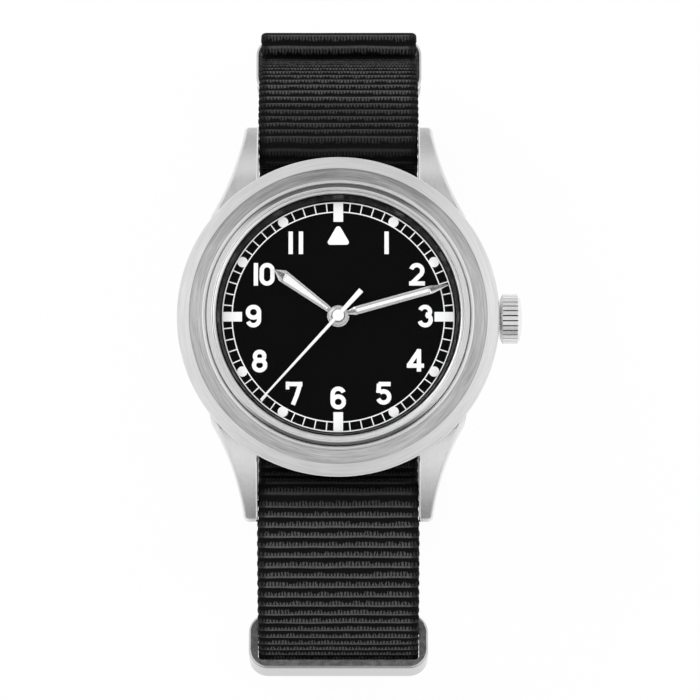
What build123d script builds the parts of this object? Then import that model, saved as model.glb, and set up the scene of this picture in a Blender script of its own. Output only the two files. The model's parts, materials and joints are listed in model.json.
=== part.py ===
from build123d import *

from math import atan2, cos, degrees, hypot, radians, sin, sqrt, tan
import os

# Field watch on a threaded ribbed strap, in millimetres.
# The closed strap loop stands under the head: z = 0 is the loop's flat underside,
# +Z points out of the dial, +Y to twelve o'clock and +X to the crown.
# The origin lies on the dial's axis. Inside the head, heights are given above the dial.

# Head
dial_height = 50.0
bezel_radius = 18.0
case_radius = 17.4
case_bore = 14.4
case_top = 0.5
case_bottom = -5.25
case_edge = 0.5
overrun = 1.0
running_gap = 0.03
seat_gap = 0.02

# Bezel, crystal and the ring round the dial
bezel_wall_top = 0.95
bezel_outer_ridge_radius = 16.75
bezel_outer_ridge = 1.35
bezel_groove_depth = 0.08
bezel_inner_band_top = 1.75
bezel_bead_radius = 15.12
bezel_bead_top = 2.1
bezel_bead_width = 0.36
bezel_lip_radius = 13.6
bezel_lip_top = 1.86
bezel_lip_width = 0.42
bezel_rim_radius = 15.6
bezel_rim_height = 0.5
bezel_round = 0.2
crystal_radius = 14.66
crystal_under = 1.95
crystal_edge_top = 2.3
crystal_bevel_radius = 14.0
crystal_bevel_top = 2.75
crystal_crown = 0.3
crystal_gasket_height = 0.5
rehaut_foot_radius = 14.2
rehaut_foot = 0.45
rehaut_low_radius = 13.05
rehaut_high_radius = 13.42
rehaut_wall = 0.12

# Dial and hands
dial_radius = 14.2
dial_thickness = 0.4
hand_thickness = 0.15
hour_hand_height = 0.38
minute_hand_height = 0.78
seconds_hand_height = 1.16
hour_hand_length = 8.84
hour_hand_width = 1.7
hour_hand_neck = 0.75
hour_hand_widest_share = 0.86
hour_hand_boss = 1.14
minute_hand_length = 12.87
minute_hand_width = 1.15
minute_hand_start = 2.5
minute_hand_shoulder = 11.3
minute_hand_boss = 1.14
seconds_hand_length = 12.8
seconds_hand_width = 0.45
seconds_hand_tip = 0.25
seconds_hand_tail = 3.8
seconds_hand_tail_width = 0.75
seconds_hand_boss = 0.635
hour_hand_angle = 306.3
minute_hand_angle = 74.2
seconds_hand_angle = 222.2

# Lugs
lug_gap = 18.1
lug_reach = 22.3
lug_tip_width = 1.5
lug_waist_reach = 16.9
lug_waist_x = 11.75
lug_flare_reach = 11.5
lug_flare_x = 14.2
lug_root_x = 16.0
lug_tip_top = -4.0
lug_tip_bottom = -6.7
lug_shoulder = 0.2
lug_shoulder_reach = 12.6
lug_back_reach = 14.5
lug_crest = 0.9
lug_hollow = 0.35
lug_edge = 0.4
lug_corner = 0.6

# Spring bars
bar_drop = 4.9
bar_radius = 0.75
bar_bore = 0.55
bar_half_length = 7.6
bar_tip_shank = 0.5
bar_tip_shank_start = 5.6
bar_flange_start = 8.6
bar_flange = 0.3
bar_flange_radius = 0.7
bar_pin_radius = 0.38
bar_pin_length = 0.85
lug_hole_gap = 0.06
bar_spring_radius = 0.42
bar_spring_bore = 0.26

# Case back
back_radius = 15.5
back_outer = -6.2
back_floor = -5.6
back_rim_top = -4.75
back_rim_wall = 1.0
back_slot_width = 1.6
back_slot_depth = 0.9
back_slot_height = 0.35
back_slots = 6
back_edge = 0.25
back_gasket_radius = 15.1
back_gasket_width = 0.5
back_gasket_height = 0.3

# Crown, tube and stem
crown_axis = -1.5
crown_radius = 2.75
crown_inner_end = 18.08
crown_outer_end = 20.3
crown_dome = 0.25
crown_chamfer = 0.28
crown_chamfer_radius = 2.16
crown_dome_radius = 2.3
crown_ribs = 30
crown_groove_depth = 0.2
crown_rib_share = 0.74
crown_bore = 1.4
crown_bore_end = 19.4
crown_travel = 0.8
tube_end = 19.15
tube_radius = 1.0
tube_bore = 0.6
stem_radius = 0.45
stem_start = 5.2
stem_square_end = 7.4
stem_square = 0.46
stem_groove_radius = 0.22
stem_groove_width = 0.42
stem_groove_x = 9.0
crown_gasket_start = 18.2
crown_gasket_width = 0.3
clutch_start = 5.7
clutch_length = 1.0
clutch_radius = 0.72
clutch_teeth = 10
clutch_tooth_depth = 0.14

# Setting lever, drawn with the crown pushed in
lever_arm = 2.4
lever_pin_radius = 0.15
lever_width = 0.7
lever_thickness = 0.2
lever_top = -2.02
lever_tail = 1.6
lever_pivot_radius = 0.3
lever_pivot_height = 0.5

# Movement
movement_radius = 12.8
holder_top = -0.42
holder_bottom = -4.6
plate_top = -1.15
plate_bottom = -1.85
bridge_top = -3.25
bridge_bottom = -3.6
bridge_radius = 6.9
pillar_radius = 0.6
pillar_reach = 6.1
pillar_angles = [20.0, 175.0, 290.0]
arbor_radius = 0.15
board_top = -3.68
board_bottom = -3.88
board_outer = 11.8
board_inner = 7.3
battery_radius = 3.4
battery_height = 2.6
battery_top = -1.42
battery_x = 5.5
battery_y = -5.6
battery_gap = 0.12
battery_lip = 0.3
clamp_thickness = 0.2
clamp_width = 2.4
clamp_length = 9.4
coil_radius = 0.72
coil_length = 8.0
coil_x = -8.3
coil_y = -1.6
coil_z = -2.75
coil_core_radius = 0.35
coil_core_spare = 0.9
coil_flange_radius = 0.85
coil_flange = 0.3
stator_top = -2.72
stator_bottom = -3.0
stator_width = 3.0
stator_hole = 0.86

# Gear train: teeth, modules, places and heights
fourth_teeth = 48
fourth_module = 0.125
fourth_pinion_teeth = 8
third_teeth = 60
third_module = 0.1
third_pinion_teeth = 8
centre_teeth = 64
fifth_teeth = 40
fifth_module = 0.11
fifth_pinion_teeth = 8
rotor_pinion_teeth = 8
cannon_teeth = 12
cannon_module = 0.125
minute_teeth = 36
minute_pinion_teeth = 10
hour_teeth = 40
third_angle = 250.0
fifth_angle = 120.0
rotor_angle = 150.0
minute_angle = 330.0
wheel_thickness = 0.15
pinion_width = 0.35
centre_wheel_top = -2.0
fifth_wheel_top = -2.3
third_wheel_top = -2.55
fourth_wheel_top = -2.9
minute_wheel_top = -0.84
hour_wheel_top = -0.54
rotor_magnet_radius = 0.74
rotor_magnet_top = -2.6
rotor_magnet_height = 0.5
seconds_arbor_radius = 0.17
centre_tube_radius = 0.31
centre_tube_bore = 0.2
cannon_tube_radius = 0.47
cannon_tube_bore = 0.33
hour_tube_radius = 0.75
hour_tube_bore = 0.5
plate_centre_hole = 0.36
dial_centre_hole = 0.85
wheel_addendum_share = 0.9
wheel_dedendum_share = 1.25
pinion_addendum_share = 0.6
pinion_dedendum_share = 1.5
wheel_tooth_shares = [0.46, 0.18]
pinion_tooth_shares = [0.36, 0.16]

# Strap
strap_width = 18.0
strap_thickness = 1.2
layer_gap = 0.25
bar_clearance = 0.15
case_clearance = 0.4
under_case = -7.2
under_case_bend = 2.0
slope_12 = 40.0
slope_6 = 22.3
reach_12 = 32.6
reach_6 = 37.15
bend_12 = 18.5
bend_6 = 16.0
low_bend_12 = 8.0
lean_in_6 = 8.0
lean_height_6 = 21.5
lean_bend_6 = 30.0
flat_run_6 = 1.3
tang_bend = 4.0
ramp_run = 6.5
bar_play = 0.6
fold_rise = 4.4
fold_radius = 1.25
fold_lean = 2.8
fold_bend = 2.2
tail_end_height = 10.5
under_reach_12 = 28.6
under_bend_12 = 8.0
under_low_bend = 5.5
under_reach_share = 0.464
under_bend_share = 0.75
under_leg_bend = 6.0
under_start_gap = 2.0
hem_length = 6.0
turn_share = 0.96
loop_spare = 0.3
loop_hem = 4.5
hole_radius = 1.0
hole_pitch = 6.5
tang_slot_length = 5.2
holes_before_tang = 2
holes_after_tang = 4

# Keeper rings
keeper_play = 0.15
keeper_wall = 0.6
keeper_bar = 0.95
keeper_band = 2.4
keeper_corner = 1.9
keeper_inner_corner = 0.45
keeper_gap = 0.15
keeper_1_height = 14.5
keeper_2_height = 21.0
ring_play = 0.2
ring_wall = 1.0
ring_depth = 6.6
ring_band = 3.0
ring_corner = 2.2
ring_inner_corner = 0.55
ring_gap = 0.3
ring_slope = 75.0
ring_edge = 0.25

# Buckle
buckle_far_bar = -15.5
buckle_pivot = -2.5
buckle_bar_radius = 0.65
buckle_frame_bar = 0.8
buckle_side_width = 1.1
buckle_side_gap = 0.25
buckle_side_height = 1.5
tang_thickness = 0.9
tang_width = 1.6
tang_overhang = 1.6
tang_eye_wall = 0.55
tang_slot_width = 2.2
tang_slot_gap = 0.3
tang_ground = 0.15
tang_rest_gap = 0.06

layer_pitch = strap_thickness + layer_gap
bar_reach = case_radius + case_clearance + strap_thickness + bar_clearance + bar_radius
wrap_radius = bar_radius + bar_clearance + strap_thickness / 2
keeper_width = strap_width + 2 * (keeper_play + keeper_wall)
ring_width = strap_width + 2 * (ring_play + ring_wall)
fold_height = keeper_2_height + keeper_band / 2 + fold_rise
tail_level = strap_thickness / 2
lean_6 = degrees(atan2(lean_in_6, lean_height_6 - tail_level))
low_run_6 = reach_6 - lean_in_6 + buckle_far_bar - ramp_run - flat_run_6
low_bend_6 = low_run_6 / tan(radians(90 - lean_6) / 2)
main_level = tail_level + layer_pitch
pivot_level = main_level + layer_pitch
hem_level = pivot_level + layer_pitch
tang_run = buckle_pivot - buckle_far_bar + buckle_frame_bar + tang_overhang / 2
tang_fall = pivot_level - tang_ground - tang_thickness / 2
tang_slope = tang_fall / tang_run
tang_level_at_bar = pivot_level - tang_slope * (buckle_pivot - buckle_far_bar)
far_bar_level = tang_level_at_bar + tang_thickness / 2 + tang_rest_gap + buckle_frame_bar
over_bar_level = far_bar_level + buckle_frame_bar + bar_play + strap_thickness / 2


def at_height(height):
    """A height above the dial, in the part's own frame."""
    return dial_height + height


def turned(points):
    """A body of revolution about the dial's axis, from (radius, height above the dial) points."""
    outline = Polyline(*[(radius, at_height(height)) for radius, height in points], close=True)
    return revolve(Plane.XZ * make_face(outline), axis=Axis.Z)


def disc(radius, low, high, x=0.0, y=0.0):
    """A round plate between two heights above the dial."""
    return extrude(Plane((x, y, at_height(low))) * Circle(radius), amount=high - low)


def tube(outer, inner, low, high, x=0.0, y=0.0):
    """A round plate or tube with a bore, between two heights above the dial."""
    return extrude(Plane((x, y, at_height(low))) * (Circle(outer) - Circle(inner)), amount=high - low)


def dome(radius, rise):
    """A shallow dome on the plane z = 0: a slice off a sphere."""
    sphere_radius = (radius**2 + rise**2) / (2 * rise)
    middle_height = sqrt(sphere_radius**2 - radius**2 / 4) - (sphere_radius - rise)
    arc = ThreePointArc((radius, 0.0), (radius / 2, middle_height), (0.0, rise))
    outline = make_face(Line((0.0, 0.0), (radius, 0.0)) + arc + Line((0.0, rise), (0.0, 0.0)))
    return revolve(Plane.XZ * outline, axis=Axis.Z)


def polar(distance, angle):
    """The x and y of a point at a distance and an angle from the dial's axis."""
    return distance * cos(radians(angle)), distance * sin(radians(angle))


def along_x(radius, start, end, y, z, bore=0.0):
    """A round rod or tube along X."""
    section = Circle(radius) - Circle(bore) if bore > 0 else Circle(radius)
    return extrude(Plane((start, y, z), x_dir=(0, 1, 0), z_dir=(1, 0, 0)) * section, amount=end - start)


# Case


def lug_blank():
    """The lug at twelve o'clock on the crown's side, before it joins the case."""
    inner_x = lug_gap / 2
    tip = (inner_x + lug_tip_width, lug_reach)
    flare = (lug_flare_x, lug_flare_reach)
    plan = make_face(
        Polyline(flare, (lug_root_x, 0.0), (inner_x, 0.0), (inner_x, lug_reach), tip)
        + ThreePointArc(tip, (lug_waist_x, lug_waist_reach), flare)
    )
    top_middle = ((lug_shoulder_reach + lug_reach) / 2, (lug_shoulder + lug_tip_top) / 2 + lug_crest)
    under_middle = ((lug_back_reach + lug_reach) / 2, (case_bottom + lug_tip_bottom) / 2 + lug_hollow)
    side = make_face(
        Line((0.0, case_bottom), (0.0, lug_shoulder))
        + Line((0.0, lug_shoulder), (lug_shoulder_reach, lug_shoulder))
        + ThreePointArc((lug_shoulder_reach, lug_shoulder), top_middle, (lug_reach, lug_tip_top))
        + Line((lug_reach, lug_tip_top), (lug_reach, lug_tip_bottom))
        + ThreePointArc((lug_reach, lug_tip_bottom), under_middle, (lug_back_reach, case_bottom))
        + Line((lug_back_reach, case_bottom), (0.0, case_bottom))
    )
    height = lug_shoulder + lug_crest - lug_tip_bottom + 2 * overrun
    prism = extrude(Plane((0, 0, at_height(lug_tip_bottom) - overrun)) * plan, amount=height)
    wall = extrude(Plane((0, 0, dial_height), x_dir=(0, 1, 0), z_dir=(1, 0, 0)) * side, amount=case_radius)
    lug = prism & wall
    tip_corner = lug.edges().filter_by(Axis.Z).sort_by(Axis.Y)[-2:].sort_by(Axis.X)[-1]
    lug = fillet(tip_corner, lug_corner)
    tip_face = lug.faces().filter_by(Axis.Y).sort_by(Axis.Y)[-1]
    return fillet(tip_face.edges().filter_by(Axis.X), lug_edge)


def case_body():
    """The middle case: a bored drum with four lugs, a rim for the bezel and a hole for the tube."""
    drum = turned(
        [
            (0.0, case_bottom),
            (case_radius - case_edge, case_bottom),
            (case_radius, case_bottom + case_edge),
            (case_radius, case_top),
            (bezel_rim_radius, case_top),
            (bezel_rim_radius, case_top + bezel_rim_height),
            (0.0, case_top + bezel_rim_height),
        ]
    )
    lug = lug_blank()
    lugs = [lug, mirror(lug, Plane.XZ), mirror(lug, Plane.YZ), mirror(mirror(lug, Plane.XZ), Plane.YZ)]
    body = drum + lugs
    body -= disc(case_bore, case_bottom - overrun, case_top + bezel_rim_height + overrun)
    body -= tube(
        back_gasket_radius,
        back_gasket_radius - back_gasket_width,
        case_bottom - overrun,
        case_bottom + back_gasket_height,
    )
    body -= along_x(tube_radius, 0.0, case_radius + overrun, 0.0, at_height(crown_axis))
    for side in (1, -1):
        holes = along_x(
            bar_pin_radius + lug_hole_gap,
            -lug_root_x,
            lug_root_x,
            side * bar_reach,
            at_height(-bar_drop),
        )
        reach = lug_gap / 2 + bar_pin_length + running_gap
        block = Box(2 * reach, 2 * bar_radius, 2 * bar_radius)
        body -= holes & Pos(0, side * bar_reach, at_height(-bar_drop)) * block
    return body


def case_tube():
    """The tube in the case side that the stem runs through."""
    start = sqrt(case_bore**2 - tube_radius**2) + seat_gap
    return along_x(tube_radius, start, tube_end, 0.0, at_height(crown_axis), tube_bore)


def bezel():
    """The bezel: an outer and an inner brushed band, a polished bead and the lip under the crystal."""
    bead_inner = bezel_bead_radius - bezel_bead_width
    ledge = crystal_under - crystal_gasket_height
    recess = case_top + bezel_rim_height + seat_gap
    return turned(
        [
            (bezel_rim_radius + seat_gap, case_top),
            (bezel_radius, case_top),
            (bezel_radius, bezel_wall_top - bezel_round),
            (bezel_radius - bezel_round / 2, bezel_wall_top - bezel_round / 4),
            (bezel_radius - bezel_round, bezel_wall_top),
            (bezel_outer_ridge_radius, bezel_outer_ridge),
            (bezel_outer_ridge_radius - bezel_groove_depth, bezel_outer_ridge - bezel_groove_depth),
            (bezel_bead_radius + bezel_groove_depth, bezel_inner_band_top - bezel_groove_depth),
            (bezel_bead_radius, bezel_inner_band_top),
            (bezel_bead_radius, bezel_bead_top - bezel_groove_depth),
            (bezel_bead_radius - bezel_groove_depth, bezel_bead_top),
            (bead_inner + bezel_groove_depth, bezel_bead_top),
            (bead_inner, bezel_bead_top - bezel_groove_depth),
            (bead_inner, ledge),
            (bezel_lip_radius + bezel_lip_width, ledge),
            (bezel_lip_radius + bezel_lip_width, bezel_lip_top),
            (bezel_lip_radius, bezel_lip_top),
            (bezel_lip_radius, rehaut_foot + seat_gap),
            (case_bore - seat_gap, rehaut_foot + seat_gap),
            (case_bore - seat_gap, recess),
            (bezel_rim_radius + seat_gap, recess),
        ]
    )


def crystal():
    """The bevelled and slightly domed crystal."""
    dome_low = at_height(crystal_bevel_top)
    body = turned(
        [
            (0.0, crystal_under),
            (crystal_radius, crystal_under),
            (crystal_radius, crystal_edge_top),
            (crystal_bevel_radius, crystal_bevel_top),
            (0.0, crystal_bevel_top),
        ]
    )
    return body + Pos(0, 0, dome_low) * dome(crystal_bevel_radius, crystal_crown)


def crystal_gasket():
    """The flat ring that the crystal sits on."""
    inner = bezel_lip_radius + bezel_lip_width + seat_gap
    return tube(crystal_radius, inner, crystal_under - crystal_gasket_height, crystal_under)


def rehaut():
    """The dark flared ring between the dial and the crystal."""
    outer = bezel_lip_radius - seat_gap
    return turned(
        [
            (rehaut_low_radius, 0.0),
            (rehaut_foot_radius, 0.0),
            (rehaut_foot_radius, rehaut_foot),
            (outer, rehaut_foot),
            (outer, bezel_lip_top),
            (outer - rehaut_wall, bezel_lip_top),
            (rehaut_high_radius, bezel_lip_top - rehaut_wall),
        ]
    )


def case_back():
    """The screwed case back, with its rim in the case bore and slots for the case key."""
    rim = case_bore - seat_gap
    back = turned(
        [
            (0.0, back_outer),
            (back_radius - back_edge, back_outer),
            (back_radius, back_outer + back_edge),
            (back_radius, case_bottom),
            (rim, case_bottom),
            (rim, back_rim_top),
            (rim - back_rim_wall, back_rim_top),
            (rim - back_rim_wall, back_floor),
            (0.0, back_floor),
        ]
    )
    for index in range(back_slots):
        slot = Pos(back_radius, 0, at_height(back_outer)) * Box(
            2 * back_slot_depth, back_slot_width, 2 * back_slot_height
        )
        back -= Rot(0, 0, 360 / back_slots * (index + 0.5)) * slot
    return back


def case_back_gasket():
    """The flat ring pressed between the case and its back."""
    inner = back_gasket_radius - back_gasket_width
    return tube(back_gasket_radius, inner, case_bottom, case_bottom + back_gasket_height)


# Dial and hands


def dial():
    """The dial plate with its hole for the hands' tubes."""
    return tube(dial_radius, dial_centre_hole, -dial_thickness, 0.0)


def hand(outline, boss, bore, height, clock_angle):
    """A hand cut from sheet, with its round boss, turned clockwise from twelve."""
    plate = make_face(Polyline(*outline, close=True)) + Circle(boss)
    if bore > 0:
        plate -= Circle(bore)
    solid = extrude(Plane((0, 0, at_height(height))) * plate, amount=hand_thickness)
    return Rot(0, 0, -clock_angle) * solid


def hour_hand():
    """The hour hand, widest near its tip."""
    widest = hour_hand_length * hour_hand_widest_share
    outline = [
        (hour_hand_neck / 2, 0.0),
        (hour_hand_neck / 2, hour_hand_boss),
        (hour_hand_width / 2, widest),
        (0.0, hour_hand_length),
        (-hour_hand_width / 2, widest),
        (-hour_hand_neck / 2, hour_hand_boss),
        (-hour_hand_neck / 2, 0.0),
    ]
    return hand(outline, hour_hand_boss, hour_tube_radius, hour_hand_height, hour_hand_angle)


def minute_hand():
    """The minute hand, pointed at both ends."""
    neck = seconds_hand_width
    outline = [
        (neck / 2, 0.0),
        (neck / 2, minute_hand_boss),
        (minute_hand_width / 2, minute_hand_start),
        (minute_hand_width / 2, minute_hand_shoulder),
        (0.0, minute_hand_length),
        (-minute_hand_width / 2, minute_hand_shoulder),
        (-minute_hand_width / 2, minute_hand_start),
        (-neck / 2, minute_hand_boss),
        (-neck / 2, 0.0),
    ]
    return hand(outline, minute_hand_boss, cannon_tube_radius, minute_hand_height, minute_hand_angle)


def seconds_hand():
    """The seconds hand with its flared tail and closed hub."""
    outline = [
        (seconds_hand_width / 2, 0.0),
        (seconds_hand_tip / 2, seconds_hand_length),
        (-seconds_hand_tip / 2, seconds_hand_length),
        (-seconds_hand_width / 2, 0.0),
        (-seconds_hand_tail_width / 2, -seconds_hand_tail),
        (seconds_hand_tail_width / 2, -seconds_hand_tail),
    ]
    return hand(outline, seconds_hand_boss, 0.0, seconds_hand_height, seconds_hand_angle)


# Gear train


def toothed(teeth, module, addendum_share, dedendum_share, tooth_shares, low, thickness, tooth_angle, place):
    """A toothed disc with the middle of one tooth at tooth_angle."""
    pitch_angle = 360 / teeth
    root = module * (teeth / 2 - dedendum_share)
    tip = module * (teeth / 2 + addendum_share)
    points = []
    for index in range(teeth):
        middle = tooth_angle + index * pitch_angle
        for radius, offset in (
            (root, -tooth_shares[0] / 2),
            (tip, -tooth_shares[1] / 2),
            (tip, tooth_shares[1] / 2),
            (root, tooth_shares[0] / 2),
        ):
            points.append(polar(radius, middle + offset * pitch_angle))
    outline = make_face(Polyline(*points, close=True))
    return extrude(Plane((place[0], place[1], at_height(low))) * outline, amount=thickness)


def wheel(teeth, module, top, tooth_angle, place=(0.0, 0.0)):
    """A wheel of the train under the given height."""
    return toothed(
        teeth,
        module,
        wheel_addendum_share,
        wheel_dedendum_share,
        wheel_tooth_shares,
        top - wheel_thickness,
        wheel_thickness,
        tooth_angle,
        place,
    )


def pinion(teeth, module, middle_height, tooth_angle, place=(0.0, 0.0)):
    """A pinion, wider than the wheel it meets and centred on it."""
    return toothed(
        teeth,
        module,
        pinion_addendum_share,
        pinion_dedendum_share,
        pinion_tooth_shares,
        middle_height - pinion_width / 2,
        pinion_width,
        tooth_angle,
        place,
    )


def centre_distance(module, first, second):
    """How far apart two meshed toothed parts stand."""
    return module * (first + second) / 2


def gap_angle(teeth, direction):
    """The tooth angle that puts a gap in the given direction."""
    return direction + 180 / teeth


third_place = polar(centre_distance(third_module, fourth_pinion_teeth, third_teeth), third_angle)
centre_module = 2 * hypot(*third_place) / (third_pinion_teeth + centre_teeth)
fifth_place = polar(centre_distance(fourth_module, fifth_pinion_teeth, fourth_teeth), fifth_angle)
rotor_offset = polar(centre_distance(fifth_module, rotor_pinion_teeth, fifth_teeth), rotor_angle)
rotor_place = (fifth_place[0] + rotor_offset[0], fifth_place[1] + rotor_offset[1])
minute_place = polar(centre_distance(cannon_module, cannon_teeth, minute_teeth), minute_angle)
hour_module = 2 * hypot(*minute_place) / (minute_pinion_teeth + hour_teeth)
arbor_low = bridge_bottom
arbor_high = plate_top


def rotor():
    """The motor's rotor: a round magnet and its pinion on one arbor."""
    mesh_height = fifth_wheel_top - wheel_thickness / 2
    magnet_low = rotor_magnet_top - rotor_magnet_height
    magnet = disc(rotor_magnet_radius, magnet_low, rotor_magnet_top, *rotor_place)
    arbor = disc(arbor_radius, arbor_low, arbor_high, *rotor_place)
    leaf_angle = rotor_angle + 180
    return magnet + arbor + pinion(rotor_pinion_teeth, fifth_module, mesh_height, leaf_angle, rotor_place)


def fifth_wheel():
    """The fifth wheel, driven by the rotor."""
    mesh_height = fourth_wheel_top - wheel_thickness / 2
    meshing = gap_angle(fifth_teeth, rotor_angle)
    plate = wheel(fifth_teeth, fifth_module, fifth_wheel_top, meshing, fifth_place)
    leaf_angle = fifth_angle + 180
    leaves = pinion(fifth_pinion_teeth, fourth_module, mesh_height, leaf_angle, fifth_place)
    return plate + leaves + disc(arbor_radius, arbor_low, arbor_high, *fifth_place)


def fourth_wheel():
    """The fourth wheel, whose long arbor carries the seconds hand."""
    mesh_height = third_wheel_top - wheel_thickness / 2
    plate = wheel(fourth_teeth, fourth_module, fourth_wheel_top, gap_angle(fourth_teeth, fifth_angle))
    leaves = pinion(fourth_pinion_teeth, third_module, mesh_height, third_angle)
    return plate + leaves + disc(seconds_arbor_radius, arbor_low, seconds_hand_height)


def third_wheel():
    """The third wheel, between the seconds and the minutes."""
    mesh_height = centre_wheel_top - wheel_thickness / 2
    toward_centre = third_angle + 180
    tooth_angle = gap_angle(third_teeth, toward_centre)
    plate = wheel(third_teeth, third_module, third_wheel_top, tooth_angle, third_place)
    leaves = pinion(third_pinion_teeth, centre_module, mesh_height, toward_centre, third_place)
    return plate + leaves + disc(arbor_radius, arbor_low, arbor_high, *third_place)


def centre_wheel():
    """The centre wheel on its hollow arbor."""
    plate = wheel(centre_teeth, centre_module, centre_wheel_top, gap_angle(centre_teeth, third_angle))
    sleeve = disc(centre_tube_radius, centre_wheel_top - wheel_thickness, minute_hand_height)
    bore = disc(centre_tube_bore, centre_wheel_top - overrun, minute_hand_height + overrun)
    return plate + sleeve - bore


def cannon_pinion():
    """The cannon pinion, which grips the centre arbor and carries the minute hand."""
    mesh_height = minute_wheel_top - wheel_thickness / 2
    low = mesh_height - pinion_width / 2
    leaves = pinion(cannon_teeth, cannon_module, mesh_height, minute_angle)
    sleeve = disc(cannon_tube_radius, low, minute_hand_height + hand_thickness)
    return leaves + sleeve - disc(cannon_tube_bore, low - overrun, minute_hand_height + overrun)


def minute_wheel():
    """The minute wheel of the motion work, on its post."""
    mesh_height = hour_wheel_top - wheel_thickness / 2
    toward_centre = minute_angle + 180
    tooth_angle = gap_angle(minute_teeth, toward_centre)
    plate = wheel(minute_teeth, cannon_module, minute_wheel_top, tooth_angle, minute_place)
    leaves = toothed(
        minute_pinion_teeth,
        hour_module,
        pinion_addendum_share,
        pinion_dedendum_share,
        pinion_tooth_shares,
        minute_wheel_top,
        hour_wheel_top - minute_wheel_top,
        toward_centre,
        minute_place,
    )
    hole_low = minute_wheel_top - overrun
    post_hole = disc(arbor_radius + running_gap, hole_low, mesh_height + overrun, *minute_place)
    return plate + leaves - post_hole


def hour_wheel():
    """The hour wheel, whose tube carries the hour hand."""
    plate = wheel(hour_teeth, hour_module, hour_wheel_top, gap_angle(hour_teeth, minute_angle))
    sleeve = disc(hour_tube_radius, hour_wheel_top - wheel_thickness, hour_hand_height + hand_thickness)
    return plate + sleeve - disc(hour_tube_bore, hour_wheel_top - overrun, hour_hand_height + overrun)


# Movement frame and electrics


def movement_holder():
    """The plastic ring that centres the movement, open towards the stem."""
    ring = tube(case_bore - seat_gap, movement_radius + seat_gap, holder_bottom, holder_top)
    shelf = tube(case_bore - seat_gap, case_bore - back_rim_wall - 3 * seat_gap, holder_bottom, back_rim_top)
    stem_way = along_x(tube_radius + running_gap, 0.0, case_bore, 0.0, at_height(crown_axis))
    rim_room = tube(case_bore, case_bore - back_rim_wall - 2 * seat_gap, back_rim_top - overrun, back_rim_top)
    return ring + shelf - stem_way - rim_room


def main_plate():
    """The main plate with its rim, the post of the minute wheel and the ways for stem and battery."""
    rim_wall = movement_radius - board_outer - running_gap
    plate = disc(movement_radius, plate_bottom, plate_top)
    plate += tube(movement_radius, movement_radius - rim_wall, board_bottom, plate_bottom)
    plate += tube(movement_radius, movement_radius - rim_wall, plate_top, -dial_thickness)
    plate += disc(arbor_radius, plate_top, hour_wheel_top, *minute_place)
    for angle in pillar_angles:
        plate += disc(pillar_radius, bridge_top, plate_bottom, *polar(pillar_reach, angle))
    plate -= disc(plate_centre_hole, plate_bottom - overrun, plate_top + overrun)
    for place in (third_place, fifth_place, rotor_place):
        plate -= disc(arbor_radius + running_gap, plate_bottom - overrun, plate_top + overrun, *place)
    battery_room = battery_radius + battery_gap
    plate -= disc(battery_room, board_bottom - overrun, battery_top + seat_gap, battery_x, battery_y)
    channel_length = movement_radius - stem_start + running_gap + overrun
    stem_room = 2 * (stem_radius + running_gap)
    plate -= Pos(
        stem_start - running_gap + channel_length / 2, 0, at_height(crown_axis)
    ) * Box(channel_length, stem_room, stem_room)
    clutch_room = 2 * (clutch_radius + running_gap)
    plate -= Pos(clutch_start + clutch_length / 2, 0, at_height(crown_axis)) * Box(
        clutch_length + 2 * lever_pin_radius, clutch_room, clutch_room
    )
    pivot = lever_pivot()
    return plate + disc(
        lever_pivot_radius, lever_top - lever_thickness - lever_pivot_height / 2, plate_bottom, *pivot
    )


def bridge_outline():
    """The train bridge seen from the back: a disc cut back round the battery."""
    return Circle(bridge_radius) - Pos(battery_x, battery_y) * Circle(battery_radius + 2 * battery_gap)


def train_bridge():
    """The bridge that holds the back pivots of the train."""
    seat = Plane((0, 0, at_height(bridge_bottom)))
    plate = extrude(seat * bridge_outline(), amount=bridge_top - bridge_bottom)
    plate -= disc(seconds_arbor_radius + running_gap, bridge_bottom - overrun, bridge_top + overrun)
    for place in (third_place, fifth_place, rotor_place):
        plate -= disc(arbor_radius + running_gap, bridge_bottom - overrun, bridge_top + overrun, *place)
    return plate


def circuit_board():
    """The ring-shaped circuit board on the back of the movement."""
    board = tube(board_outer, board_inner, board_bottom, board_top)
    cell_room = battery_radius + battery_gap
    return board - disc(cell_room, board_bottom - overrun, board_top + overrun, battery_x, battery_y)


def coil():
    """The motor coil: a winding between two flanges on an iron core."""
    half = coil_length / 2
    centre = at_height(coil_z)

    def rod(radius, start, end):
        return extrude(
            Plane((coil_x, coil_y + start, centre), x_dir=(1, 0, 0), z_dir=(0, 1, 0)) * Circle(radius),
            amount=end - start,
        )

    body = rod(coil_radius, -half, half)
    body += rod(coil_core_radius, -half - coil_core_spare, half + coil_core_spare)
    for start in (-half, half - coil_flange):
        body += rod(coil_flange_radius, start, start + coil_flange)
    return body


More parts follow.
